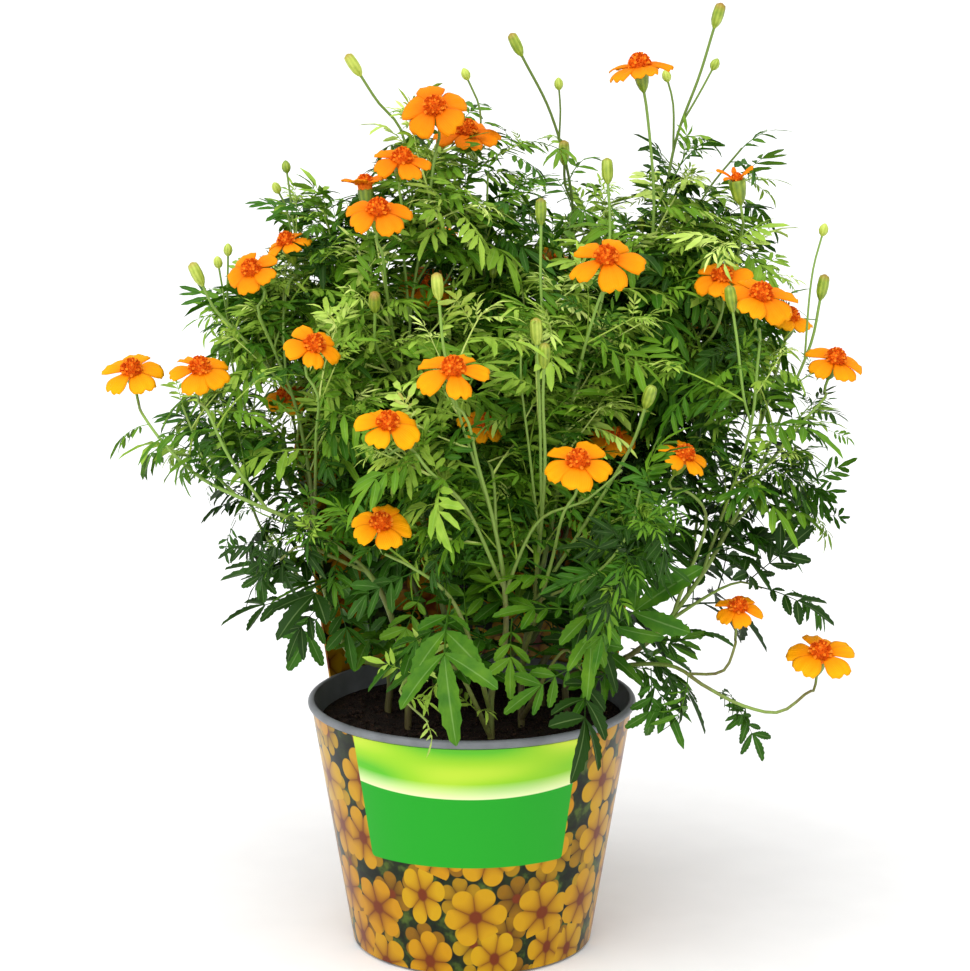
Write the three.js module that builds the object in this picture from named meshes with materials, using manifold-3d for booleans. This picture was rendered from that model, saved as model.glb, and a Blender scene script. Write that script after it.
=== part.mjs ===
// A signet marigold in bloom, in a round plastic nursery pot with a printed sleeve.
// Millimetres, +Z up. The origin is the middle of the pot's base, and -Y is the front.
import * as THREE from "three";
import { mergeVertices } from "three/addons/utils/BufferGeometryUtils.js";
import Module from "manifold-3d";

const wasm = await Module();
wasm.setup();

// ---------------------------------------------------------------- driving dimensions

const GAP = 0.3; // between two pieces that touch

const POT = {
  height: 92,
  rimRadius: 60, // outside of the rim's bead
  beadHeight: 3,
  beadRound: 0.8,
  baseRadius: 43,
  neckRadius: 57.6, // outside of the wall, just under the bead
  wall: 1.2,
  floor: 2,
  corner: 1.4,
  sides: 32,
};
const DRAINS = { count: 6, radius: 3.5, circle: 29, sides: 8 };

const SLEEVE = {
  thickness: 0.7,
  bottom: 1,
  panelTop: 191, // top of the panel that stands behind the plant
  panelShoulder: 176, // where the panel's upright edge turns into its top
  panelEdge: 62, // half the panel's width, in degrees from straight behind
  panelStep: 2.5, // how far the panel steps out to pass the bead
  panelArch: 4, // how much lower its top is beside the shoulders than in the middle
  stepFoot: 21, // the step out starts this far below the bead
  stepHead: 3, // and is complete this far below it
  stepSpan: [1, 8], // degrees outside the panel's edge over which the step fades
  shoulderSpan: 8, // degrees inside the panel's edge over which its corner is rounded
};

const SOIL = {
  top: 84,
  relief: 1.3, // of its lumps, up and down
  seed: 3,
  sides: 20,
  rings: [1, 0.8, 0.55, 0.28], // shares of its radius
  holeDepth: 10,
  holeSides: 6,
  holeSpare: 1,
};

const BLOOM = {
  hub: 3.1, // radius of the middle that the petals grow from
  petals: 5,
  petalWidth: 0.74, // of the petal's reach
  thickness: 0.7,
  discSides: 8,
  discRadius: 3.6,
  discHeight: 5.6,
  calyxLength: 9,
  calyxRadius: 2.6,
  stalkEnd: 15.3, // the stalk turns onto the flower's axis this far below the petals
};

const STEM = {
  seed: 7,
  stepLength: 27,
  branchRadius: 1.3,
  branchShare: 0.72, // a shoot's radius, of the shoot that it leaves
  tipRadius: 0.75,
  uprightFoot: 16, // how far a main stem rises straight out of the soil
  sides: 4,
  leafShootSides: 3,
};

const LEAF = {
  thickness: 0.7,
  rib: 0.55, // half the rib's width
  arch: 0.3, // how far the tip hangs, of the leaf's length
  endLeaflet: 0.9, // the share of the end leaflet that reaches past the others
  spread: 52, // degrees between a leaflet and the rib
  leafletDroop: 0.14, // of a leaflet's length
  leafletBelly: 0.06,
  widestAt: 0.45,
  step: 11.4, // between two leaves along a stem
  builtEvery: 4, // one leaf in four is built
  joined: 8, // as far from its root a leaf may touch its own stem
  bareFoot: 12, // bare stretch at the foot of a stem
  bareStalk: 22, // bare stretch below a flower or a bud
  opening: 62, // degrees between a leaf and its stem
  openingDraw: 16, // how much that differs between leaves
  turn: 137.5, // degrees round the stem from one leaf to the next
  turnDraw: 50,
  smallest: 0.85,
  sizeDraw: 0.3,
  lowest: 84, // no leaf hangs below this height outside the pot
  lowestInFront: 108, // nor below this one in front of the soil
  frontStarts: 30, // where that front begins, from the pot's axis
};
// seat: the share of the rib between two leaflets that a leaflet grows from.
const LEAF_KINDS = {
  broad: { length: 46, pairs: 2, leaflet: 20, width: 7.6, stalk: 0.3, seat: 0.35, rounded: true },
  fine: { length: 32, pairs: 3, leaflet: 13, width: 3.6, stalk: 0.25, seat: 1 },
  young: { length: 20, pairs: 2, leaflet: 8.5, width: 2.6, stalk: 0.25, seat: 1 },
};
const BROAD_BELOW = 150;
const YOUNG_ABOVE = 262;

// A leaf that would meet something else is turned round its stem by one of these, in degrees.
const BENDS = [0, 40, -40, 80, -80, 120, -120, 160];
const CLEARANCE = { step: 1.8, potSpare: 0.8, panelSpare: 6, petalBall: 0.22, petalBallCount: 10 };

const MATERIALS = {
  pot: new THREE.MeshStandardMaterial({ color: 0x4b4d52, roughness: 0.5, metalness: 0 }),
  sleeve: new THREE.MeshStandardMaterial({ color: 0xd9a33a, roughness: 0.3, metalness: 0 }),
  soil: new THREE.MeshStandardMaterial({ color: 0x2a1c14, roughness: 1, metalness: 0 }),
  petals: new THREE.MeshStandardMaterial({ color: 0xffa312, roughness: 0.6, metalness: 0 }),
  disc: new THREE.MeshStandardMaterial({ color: 0xe2530f, roughness: 0.8, metalness: 0 }),
  leaves: new THREE.MeshStandardMaterial({ color: 0x4c8a22, roughness: 0.6, metalness: 0 }),
};

// The places of flowers, buds and stems are surveyed from one viewpoint: [right, down, forward],
// where right and down count dots of a picture of 970 by 971 dots, and forward is how many
// millimetres in front of the pot's axis the point stands.
const VIEWPOINT = { aside: 4.8, distance: 976, height: 366, tilt: 11.34, lens: 2759 };
const PICTURE = { width: 970, height: 971 };

// ---------------------------------------------------------------- flowers and buds

// lean: how far the flower's axis tips to the right and towards the viewer, in degrees.
// whole: petals and disc are one body, as on the flowers deep in the plant or behind it.
const BLOOMS = [
  { name: "bloom_01", at: [640, 67, -4], lean: [-10, 6], reach: 12.6, turn: 10 },
  { name: "bloom_02", at: [435, 108, 2], lean: [-8, 48], reach: 12.4, turn: 40 },
  { name: "bloom_03", at: [466, 132, -22], lean: [8, 28], reach: 12.2, turn: 5, whole: true },
  { name: "bloom_04", at: [402, 160, 18], lean: [6, 30], reach: 10.8, turn: 20 },
  { name: "bloom_05", at: [365, 186, 4], lean: [-4, -4], reach: 8.4, turn: 60, whole: true, cup: 30 },
  { name: "bloom_06", at: [378, 211, 34], lean: [4, 34], reach: 11.8, turn: 30 },
  { name: "bloom_07", at: [287, 243, -4], lean: [-16, 26], reach: 8.8, turn: 15, whole: true },
  { name: "bloom_08", at: [252, 270, 22], lean: [-22, 46], reach: 9.6, turn: 50, whole: true },
  { name: "bloom_09", at: [427, 284, -24], lean: [6, 48], reach: 11.4, turn: 0, whole: true },
  { name: "bloom_10", at: [606, 259, 48], lean: [0, 36], reach: 13.2, turn: 12 },
  { name: "bloom_11", at: [722, 277, 14], lean: [-6, 38], reach: 10.6, turn: 70, whole: true },
  { name: "bloom_12", at: [761, 296, 34], lean: [6, 32], reach: 13, turn: 45 },
  { name: "bloom_13", at: [835, 360, 18], lean: [12, 34], reach: 10.6, turn: 25 },
  { name: "bloom_14", at: [314, 346, 50], lean: [20, 44], reach: 10.6, turn: 8 },
  { name: "bloom_15", at: [132, 371, 14], lean: [-4, 34], reach: 11.6, turn: 30 },
  { name: "bloom_16", at: [200, 369, 34], lean: [8, 34], reach: 11.4, turn: 65 },
  { name: "bloom_17", at: [287, 396, -22], lean: [-10, 30], reach: 9.4, turn: 20, whole: true },
  { name: "bloom_18", at: [453, 370, 80], lean: [2, 36], reach: 12.8, turn: 18 },
  { name: "bloom_19", at: [388, 424, 84], lean: [4, 38], reach: 11.2, turn: 50 },
  { name: "bloom_20", at: [578, 462, 84], lean: [0, 38], reach: 11.6, turn: 0 },
  { name: "bloom_21", at: [684, 456, 44], lean: [22, 30], reach: 9.6, turn: 35, whole: true },
  { name: "bloom_22", at: [381, 524, 82], lean: [4, 42], reach: 10.8, turn: 28 },
  { name: "bloom_23", at: [738, 608, 48], lean: [0, 32], reach: 8.8, turn: 10, whole: true },
  { name: "bloom_24", at: [820, 654, 44], lean: [4, 20], reach: 12.6, turn: 40 },
  { name: "bloom_25", at: [612, 438, 2], lean: [4, 30], reach: 9.4, turn: 15, whole: true },
  { name: "bloom_26", at: [737, 180, 6], lean: [-10, 10], reach: 8.2, turn: 35, whole: true, cup: 42 },
  { name: "bloom_27", at: [482, 424, 22], lean: [10, 30], reach: 9, turn: 55, whole: true },
  { name: "bloom_28", at: [700, 320, -48], lean: [4, 20], reach: 9, turn: 25, whole: true },
  { name: "bloom_29", at: [790, 318, -22], lean: [8, 20], reach: 9, turn: 45, whole: true },
  { name: "bloom_30", at: [350, 296, -84], lean: [-8, -34], reach: 12, turn: 15, whole: true },
  { name: "bloom_31", at: [432, 232, -78], lean: [-4, -30], reach: 11.6, turn: 50, whole: true },
  { name: "bloom_32", at: [556, 262, -88], lean: [4, -34], reach: 12.4, turn: 30, whole: true },
  { name: "bloom_33", at: [640, 330, -86], lean: [12, -36], reach: 11.4, turn: 5, whole: true },
];

// ---------------------------------------------------------------- stems

// Each leafy stem stands in its own hole in the soil at root [x, y]. Its first shoot is the main
// stem. Another shoot leaves the shoot numbered first in its from, at that share of its length.
// tip: the flower it carries, "bud", "small bud" or "leaf". leaves: their kind, where it isn't the
// one that grows at their height. low: its leaves may hang in front of the rim.
const LEAFY_STEMS = [
  {
    name: "leafy_stem_left_outer",
    root: [-23, -15],
    shoots: [
      {
        tip: "bloom_15", radius: 1.8,
        path: [[404, 662, 18], [373, 579, 24], [306, 527, 30], [250, 502, 32], [201, 478, 28],
          [166, 446, 24], [143, 415, 18]],
      },
      { tip: "bloom_16", from: [0, 0.6], path: [[228, 455, 36], [207, 410, 38]] },
      { tip: "leaf", from: [0, 0.38], leaves: "fine", path: [[300, 546, 40], [280, 560, 44]] },
      { tip: "leaf", from: [0, 0.8], path: [[190, 455, 14], [172, 450, 8]] },
      { tip: "leaf", from: [0, 0.66], path: [[205, 462, 16], [190, 425, 8], [182, 405, 4]] },
    ],
  },
  {
    name: "leafy_stem_left",
    root: [-31, 5],
    shoots: [
      {
        tip: "bloom_08", radius: 1.8,
        path: [[352, 655, -2], [327, 598, 2], [316, 529, 4], [308, 465, 4], [294, 400, 4],
          [272, 345, 8], [258, 305, 14]],
      },
      { tip: "bloom_07", from: [0, 0.78], path: [[284, 310, 0], [290, 280, -4]] },
      { tip: "bloom_14", from: [0, 0.5], path: [[316, 440, 26], [317, 392, 42]] },
      { tip: "bloom_17", from: [0, 0.55], path: [[296, 440, -14]] },
      { tip: "bud", from: [0, 0.74], path: [[240, 335, 0], [214, 308, 0], [203, 286, 0]] },
      {
        tip: "small bud", from: [0, 0.48],
        path: [[262, 440, -8], [238, 390, -12], [228, 320, -12], [228, 256, -10]],
      },
      { tip: "small bud", from: [0, 0.84], path: [[296, 270, -22], [292, 210, -22], [287, 173, -22]] },
      {
        tip: "leaf", from: [0, 0.3],
        path: [[285, 560, -18], [262, 530, -24], [238, 470, -26], [215, 440, -26]],
      },
    ],
  },
  {
    name: "leafy_stem_centre_left",
    root: [-10, 8],
    shoots: [
      {
        tip: "bloom_06", radius: 1.9,
        path: [[450, 650, -8], [432, 560, -4], [414, 470, 0], [400, 380, 4], [388, 300, 14],
          [380, 245, 28]],
      },
      { tip: "bloom_02", from: [0, 0.6], path: [[412, 300, 0], [426, 220, -2], [436, 150, -2]] },
      { tip: "bloom_03", from: [1, 0.42], path: [[455, 210, -20]] },
      { tip: "bloom_04", from: [1, 0.3], path: [[402, 235, 4], [401, 196, 12]] },
      { tip: "bloom_05", from: [0, 0.68], path: [[374, 290, 0], [368, 240, 2]] },
      {
        tip: "bud", from: [1, 0.5],
        path: [[408, 160, -20], [399, 126, -22], [378, 102, -20], [361, 76, -18]],
      },
      { tip: "bloom_09", from: [0, 0.5], path: [[420, 340, -18]] },
      { tip: "bud", from: [0, 0.66], path: [[376, 345, 28], [375, 312, 38]] },
      { tip: "small bud", from: [2, 0.5], path: [[476, 160, -34], [480, 110, -34], [468, 80, -34]] },
      { tip: "leaf", from: [0, 0.52], path: [[365, 350, -18], [342, 280, -26], [326, 215, -28]] },
      {
        tip: "leaf", from: [0, 0.42],
        path: [[458, 400, -14], [482, 300, -18], [486, 230, -14], [488, 172, -12]],
      },
    ],
  },
  {
    name: "leafy_stem_front",
    root: [7, -29],
    shoots: [
      {
        tip: "bloom_18", radius: 1.7,
        path: [[505, 640, 36], [503, 575, 50], [493, 520, 58], [478, 465, 66], [465, 415, 74]],
      },
      { tip: "bloom_19", from: [0, 0.46], path: [[462, 502, 72], [428, 470, 80], [408, 446, 84]] },
      { tip: "bloom_22", from: [0, 0.12], path: [[452, 600, 56], [408, 565, 74]] },
      { tip: "bud", from: [0, 0.66], path: [[458, 410, 56], [444, 350, 54], [439, 300, 52]] },
      { tip: "bloom_27", from: [0, 0.6], path: [[492, 470, 40]] },
      {
        tip: "leaf", from: [0, 0.06], leaves: "young", low: true,
        path: [[450, 664, 44], [415, 672, 58], [400, 692, 66], [428, 722, 74]],
      },
    ],
  },
  {
    name: "leafy_stem_centre_right",
    root: [18, -12],
    shoots: [
      {
        tip: "bloom_10", radius: 1.8,
        path: [[526, 640, 14], [542, 570, 20], [556, 500, 26], [566, 430, 30], [584, 350, 38],
          [602, 292, 44]],
      },
      { tip: "bloom_20", from: [0, 0.2], path: [[552, 560, 48], [565, 510, 70]] },
      { tip: "bud", from: [0, 0.56], path: [[548, 370, 24], [541, 290, 22], [541, 225, 20]] },
      { tip: "bud", from: [0, 0.3], path: [[545, 464, 54], [543, 400, 62], [544, 368, 66]] },
      { tip: "bud", from: [0, 0.3], path: [[600, 500, 48], [634, 440, 66], [645, 408, 72]] },
      { tip: "bloom_25", from: [0, 0.42], path: [[592, 470, 10]] },
      { tip: "bud", from: [0, 0.68], path: [[604, 290, 14], [610, 230, 4], [608, 184, 0]] },
      { tip: "leaf", from: [0, 0.06], low: true, path: [[566, 650, 44], [582, 672, 60]] },
    ],
  },
  {
    name: "leafy_stem_right_top",
    root: [26, 14],
    shoots: [
      {
        tip: "bloom_01", radius: 1.8,
        path: [[572, 630, -18], [604, 540, -20], [624, 450, -20], [638, 360, -18], [648, 280, -14],
          [654, 204, -8]],
      },
      {
        tip: "bud", from: [0, 0.6],
        path: [[660, 230, -26], [676, 140, -30], [700, 74, -28], [714, 28, -26]],
      },
      { tip: "bloom_26", from: [0, 0.44], path: [[690, 350, -16], [728, 290, -16], [742, 230, -4]] },
      { tip: "bloom_11", from: [2, 0.36], path: [[716, 330, 6]] },
      { tip: "leaf", from: [0, 0.62], path: [[683, 236, -42], [708, 190, -46], [742, 148, -46]] },
      { tip: "bloom_28", from: [0, 0.46], path: [[678, 370, -38]] },
    ],
  },
  {
    name: "leafy_stem_right",
    root: [35, -4],
    shoots: [
      {
        tip: "bloom_13", radius: 1.9,
        path: [[606, 668, 10], [650, 640, 14], [703, 573, 18], [738, 512, 20], [768, 465, 20],
          [800, 425, 20], [826, 396, 18]],
      },
      {
        tip: "bloom_24", from: [0, 0.2], leaves: "fine", low: true,
        path: [[675, 667, 36], [703, 685, 44], [744, 706, 48], [780, 712, 48], [808, 692, 46]],
      },
      { tip: "bloom_23", from: [1, 0.42], path: [[724, 671, 48], [735, 645, 50]] },
      { tip: "leaf", from: [0, 0.38], path: [[740, 582, 26], [762, 588, 30]] },
      { tip: "bloom_12", from: [0, 0.5], path: [[750, 430, 26], [757, 370, 30], [760, 330, 32]] },
      { tip: "bloom_21", from: [0, 0.4], path: [[706, 515, 32], [684, 490, 40]] },
      { tip: "bud", from: [0, 0.68], path: [[792, 390, 8], [812, 340, 4], [820, 300, 4]] },
      { tip: "bloom_29", from: [0, 0.56], path: [[762, 420, -4], [780, 360, -18]] },
      { tip: "leaf", from: [0, 0.6], path: [[790, 470, 4], [802, 480, -2]] },
    ],
  },
  {
    name: "leafy_stem_back_left",
    root: [-14, 28],
    shoots: [
      {
        tip: "bloom_30", radius: 1.8,
        path: [[434, 640, -34], [406, 560, -42], [386, 480, -44], [372, 400, -52], [356, 335, -74]],
      },
      { tip: "bloom_31", from: [0, 0.42], path: [[412, 420, -56], [428, 340, -66], [432, 270, -72]] },
      { tip: "leaf", from: [0, 0.74], path: [[330, 376, -62], [300, 346, -68], [272, 316, -68]] },
    ],
  },
  {
    name: "leafy_stem_back_right",
    root: [15, 29],
    shoots: [
      {
        tip: "bloom_33", radius: 1.8,
        path: [[532, 640, -34], [558, 560, -40], [580, 480, -42], [602, 392, -50], [622, 356, -68]],
      },
      { tip: "bloom_32", from: [0, 0.46], path: [[568, 430, -50], [560, 350, -70], [556, 300, -82]] },
      {
        tip: "bud", from: [1, 0.3],
        path: [[566, 300, -62], [572, 200, -54], [551, 114, -50], [522, 56, -48]],
      },
      { tip: "leaf", from: [0, 0.74], path: [[652, 372, -62], [692, 350, -68], [722, 330, -68]] },
    ],
  },
];

// ---------------------------------------------------------------- helpers

const degrees = THREE.MathUtils.degToRad;
const vector = (x, y, z) => new THREE.Vector3(x, y, z);

// Repeatable draws between 0 and 1.
function seededDraws(seed) {
  let state = seed;
  return () => {
    state = (state + 0x6d2b79f5) | 0;
    let mixed = Math.imul(state ^ (state >>> 15), 1 | state);
    mixed = (mixed + Math.imul(mixed ^ (mixed >>> 7), 61 | mixed)) ^ mixed;
    return ((mixed ^ (mixed >>> 14)) >>> 0) / 4294967296;
  };
}

// The point that the viewpoint sees at [right, down], on the upright plane forward of the axis.
function surveyed([right, down, forward]) {
  const tilt = degrees(VIEWPOINT.tilt);
  const across = (right - PICTURE.width / 2) / VIEWPOINT.lens;
  const up = (PICTURE.height / 2 - down) / VIEWPOINT.lens;
  const ray = vector(
    across,
    Math.cos(tilt) + up * Math.sin(tilt),
    up * Math.cos(tilt) - Math.sin(tilt),
  );
  const eye = vector(VIEWPOINT.aside, -VIEWPOINT.distance, VIEWPOINT.height);
  return eye.addScaledVector(ray, (VIEWPOINT.distance - forward) / ray.y);
}

// A point on a circle round the Z axis, at an angle counted from the front towards +X.
function around(radius, angle, z) {
  return vector(radius * Math.sin(degrees(angle)), -radius * Math.cos(degrees(angle)), z);
}

function closedMesh(points, triangles) {
  const geometry = new THREE.BufferGeometry().setFromPoints(points);
  geometry.setIndex(triangles.flat());
  return geometry;
}

function solidOf(geometry) {
  const bare = geometry.clone();
  bare.deleteAttribute("normal");
  bare.deleteAttribute("uv");
  const merged = mergeVertices(bare, 1e-4);
  return new wasm.Manifold(
    new wasm.Mesh({
      numProp: 3,
      vertProperties: new Float32Array(merged.attributes.position.array),
      triVerts: new Uint32Array(merged.index.array),
    }),
  );
}

function geometryOf(solid) {
  const mesh = solid.getMesh();
  const positions = new Float32Array(mesh.numVert * 3);
  for (let i = 0; i < mesh.numVert; i++) {
    const start = i * mesh.numProp;
    positions.set(mesh.vertProperties.subarray(start, start + 3), i * 3);
  }
  const geometry = new THREE.BufferGeometry();
  geometry.setAttribute("position", new THREE.BufferAttribute(positions, 3));
  geometry.setIndex(new THREE.BufferAttribute(new Uint32Array(mesh.triVerts), 1));
  return geometry;
}

// One body of all the solids. A loose scrap is dropped.
function fused(solids) {
  const whole = wasm.Manifold.union(solids);
  const bodies = whole.decompose().sort((a, b) => b.volume() - a.volume());
  return geometryOf(bodies[0]);
}

// A thin blade: its upper face, the same triangles below it, and the edge between them. The
// blade runs out to nothing at its sharp points.
function blade(points, faces, thickness, sharp = []) {
  const normals = points.map(() => vector(0, 0, 0));
  for (const [a, b, c] of faces) {
    const ab = points[b].clone().sub(points[a]);
    const ac = points[c].clone().sub(points[a]);
    const normal = ab.cross(ac).normalize();
    [a, b, c].forEach((i) => normals[i].add(normal));
  }
  const under = points.map((p, i) => p.clone().addScaledVector(normals[i].normalize(), -thickness));
  const below = points.map((_, i) => (sharp.includes(i) ? i : i + points.length));
  const triangles = [];
  const edges = new Set();
  for (const [a, b, c] of faces) {
    triangles.push([a, b, c], [below[c], below[b], below[a]]);
    [[a, b], [b, c], [c, a]].forEach((edge) => edges.add(edge.join()));
  }
  for (const edge of edges) {
    const [a, b] = edge.split(",").map(Number);
    if (edges.has([b, a].join())) continue;
    if (below[a] !== a) triangles.push([a, below[a], below[b]]);
    if (below[b] !== b) triangles.push([a, below[b], b]);
  }
  return closedMesh([...points, ...under], triangles);
}

// A body of rings that share one number of points, closed at both ends.
function lofted(rings) {
  const sides = rings[0].length;
  const triangles = [];
  for (let row = 0; row + 1 < rings.length; row++) {
    for (let i = 0; i < sides; i++) {
      const a = row * sides + i;
      const b = row * sides + ((i + 1) % sides);
      triangles.push([a, b, b + sides], [a, b + sides, a + sides]);
    }
  }
  const last = (rings.length - 1) * sides;
  for (let i = 1; i + 1 < sides; i++) {
    triangles.push([0, i + 1, i], [last, last + i, last + i + 1]);
  }
  return closedMesh(rings.flat(), triangles);
}

// The rings of a tapered shoot along a curve, and past its end those of the bud or calyx on its
// tip, whose outline lists [radius, rise] along the axis.
function shootRings(curve, startRadius, endRadius, sides, steps, axis, outline) {
  const frames = curve.computeFrenetFrames(steps, false);
  const ringAt = (centre, radius, frame) => {
    const ring = [];
    for (let i = 0; i < sides; i++) {
      const angle = (2 * Math.PI * i) / sides;
      const point = centre.clone();
      point.addScaledVector(frames.normals[frame], radius * Math.cos(angle));
      point.addScaledVector(frames.binormals[frame], radius * Math.sin(angle));
      ring.push(point);
    }
    return ring;
  };
  const rings = [];
  for (let step = 0; step <= steps; step++) {
    const share = step / steps;
    rings.push(ringAt(curve.getPointAt(share), THREE.MathUtils.lerp(startRadius, endRadius, share), step));
  }
  const end = curve.getPointAt(1);
  for (const [radius, rise] of outline) {
    rings.push(ringAt(end.clone().addScaledVector(axis, rise), radius, steps));
  }
  return rings;
}

// Turns +Z onto the axis, after a spin about it, and moves the foot to a place.
function standing(axis, spin, place) {
  const lean = new THREE.Quaternion().setFromUnitVectors(vector(0, 0, 1), axis);
  const spun = new THREE.Quaternion().setFromAxisAngle(vector(0, 0, 1), degrees(spin));
  return new THREE.Matrix4().compose(place, lean.multiply(spun), vector(1, 1, 1));
}

// ---------------------------------------------------------------- pot, sleeve and soil

function potRadius(z) {
  const neck = POT.height - POT.beadHeight;
  return POT.baseRadius + ((POT.neckRadius - POT.baseRadius) * z) / neck;
}

function potGeometry() {
  const neck = POT.height - POT.beadHeight;
  const inner = potRadius(POT.height) - POT.wall;
  const profile = [
    [0, 0],
    [POT.baseRadius - POT.corner, 0],
    [potRadius(POT.corner), POT.corner],
    [POT.neckRadius, neck],
    [POT.rimRadius, neck],
    [POT.rimRadius, POT.height - POT.beadRound],
    [POT.rimRadius - POT.beadRound, POT.height],
    [inner, POT.height],
    [potRadius(POT.floor) - POT.wall, POT.floor],
    [0, POT.floor],
  ];
  const outline = profile.map(([r, z]) => new THREE.Vector2(r, z));
  const body = new THREE.LatheGeometry(outline, POT.sides).rotateX(Math.PI / 2);
  let pot = solidOf(body);
  for (let i = 0; i < DRAINS.count; i++) {
    const drain = new THREE.CylinderGeometry(DRAINS.radius, DRAINS.radius, 4 * POT.floor, DRAINS.sides);
    const place = around(DRAINS.circle, (360 * i) / DRAINS.count, 0);
    drain.rotateX(Math.PI / 2).translate(place.x, place.y, place.z);
    pot = pot.subtract(solidOf(drain));
  }
  return geometryOf(pot);
}

// The angle past the panel's edge, counted towards straight behind the plant.
function pastPanelEdge(angle) {
  return SLEEVE.panelEdge - Math.abs(angle - 180);
}

// The sleeve's columns: the pot's own corners, and closer ones at the panel's two edges.
function sleeveColumns() {
  const edge = 180 - SLEEVE.panelEdge;
  const columns = [];
  for (let i = 0; i < POT.sides; i++) columns.push((360 * i) / POT.sides);
  for (const extra of [edge - 1, edge + 0.4, edge + 5]) columns.push(extra, 360 - extra);
  return columns.sort((a, b) => a - b);
}

function sleeveHeights(angle) {
  const past = pastPanelEdge(angle);
  const neck = POT.height - POT.beadHeight - GAP;
  const step = [neck - SLEEVE.stepFoot, neck - SLEEVE.stepHead];
  if (past < 0) return [SLEEVE.bottom, ...step, neck - SLEEVE.stepHead / 2, neck];
  const arch = SLEEVE.panelArch * (1 - past / SLEEVE.panelEdge) ** 2;
  const top = SLEEVE.panelTop - arch;
  const corner = (1 - Math.min(1, past / SLEEVE.shoulderSpan)) ** 2;
  const edge = top - (top - SLEEVE.panelShoulder) * corner;
  return [SLEEVE.bottom, ...step, (neck + edge) / 2, edge];
}

function sleeveRadius(angle, z) {
  const foot = POT.height - POT.beadHeight - GAP - SLEEVE.stepFoot;
  const [inner, outer] = SLEEVE.stepSpan;
  const panel = THREE.MathUtils.smoothstep(pastPanelEdge(angle), -outer, -inner);
  const rise = THREE.MathUtils.clamp((z - foot) / (SLEEVE.stepFoot - SLEEVE.stepHead), 0, 1);
  return potRadius(z) + GAP + SLEEVE.panelStep * panel * rise;
}

function sleeveGeometry() {
  const columns = sleeveColumns();
  const rows = sleeveHeights(0).length;
  const points = [];
  for (const angle of columns) {
    const heights = sleeveHeights(angle);
    for (const z of heights) points.push(around(sleeveRadius(angle, z) + SLEEVE.thickness, angle, z));
    for (const z of heights) points.push(around(sleeveRadius(angle, z), angle, z));
  }
  const triangles = [];
  const quad = (a, b, c, d) => triangles.push([a, b, c], [a, c, d]);
  columns.forEach((_, column) => {
    const here = column * 2 * rows;
    const next = ((column + 1) % columns.length) * 2 * rows;
    for (let row = 0; row + 1 < rows; row++) {
      quad(here + row, next + row, next + row + 1, here + row + 1);
      quad(here + rows + row + 1, next + rows + row + 1, next + rows + row, here + rows + row);
    }
    quad(here + rows - 1, next + rows - 1, next + 2 * rows - 1, here + 2 * rows - 1);
    quad(here + rows, next + rows, next, here);
  });
  return closedMesh(points, triangles);
}

// The soil fills the pot. Its rings run from the bottom's edge up the wall and in to the middle.
function soilGeometry() {
  const bottom = POT.floor + GAP;
  const draws = seededDraws(SOIL.seed);
  const edge = (z) => (potRadius(z) - POT.wall - GAP) * Math.cos(Math.PI / POT.sides);
  const points = [vector(0, 0, bottom), vector(0, 0, SOIL.top)];
  for (let i = 0; i < SOIL.sides; i++) {
    points.push(around(edge(bottom), (360 * i) / SOIL.sides, bottom));
  }
  for (const share of SOIL.rings) {
    for (let i = 0; i < SOIL.sides; i++) {
      const z = SOIL.top + SOIL.relief * (2 * draws() - 1);
      points.push(around(edge(SOIL.top - SOIL.relief) * share, (360 * i) / SOIL.sides, z));
    }
  }
  const triangles = [];
  const ringStart = (ring) => 2 + ring * SOIL.sides;
  const last = ringStart(SOIL.rings.length);
  for (let i = 0; i < SOIL.sides; i++) {
    const next = (i + 1) % SOIL.sides;
    triangles.push([0, ringStart(0) + next, ringStart(0) + i]);
    for (let ring = 0; ring < SOIL.rings.length; ring++) {
      const a = ringStart(ring) + i;
      const b = ringStart(ring) + next;
      triangles.push([a, b, b + SOIL.sides], [a, b + SOIL.sides, a + SOIL.sides]);
    }
    triangles.push([last + i, last + next, 1]);
  }
  let soil = solidOf(closedMesh(points, triangles));
  for (const { root, shoots } of LEAFY_STEMS) {
    const radius = shoots[0].radius + SOIL.holeSpare;
    const hole = new THREE.CylinderGeometry(radius, radius, 2 * SOIL.holeDepth, SOIL.holeSides);
    soil = soil.subtract(solidOf(hole.rotateX(Math.PI / 2).translate(root[0], root[1], SOIL.top)));
  }
  return geometryOf(soil);
}

// ---------------------------------------------------------------- flowers

// A petal's outline from its left side round its tip, as [out, aside, rise]: out and rise are
// shares of the petal's reach, and aside is a share of half its width.
const PETAL_OUTLINE = [
  [0.68, -1, -0.02],
  [1, -0.52, -0.15],
  [1, 0.52, -0.15],
  [0.68, 1, -0.02],
];

// Radius of the disc's foot, as a share of the disc's: sunk in the petals, or standing on them.
const WHOLE_DISC_FOOT = 0.6;
const LOOSE_DISC_FOOT = 0.86;

function bloomAxis({ lean }) {
  return vector(Math.tan(degrees(lean[0])), -Math.tan(degrees(lean[1])), 1).normalize();
}

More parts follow.
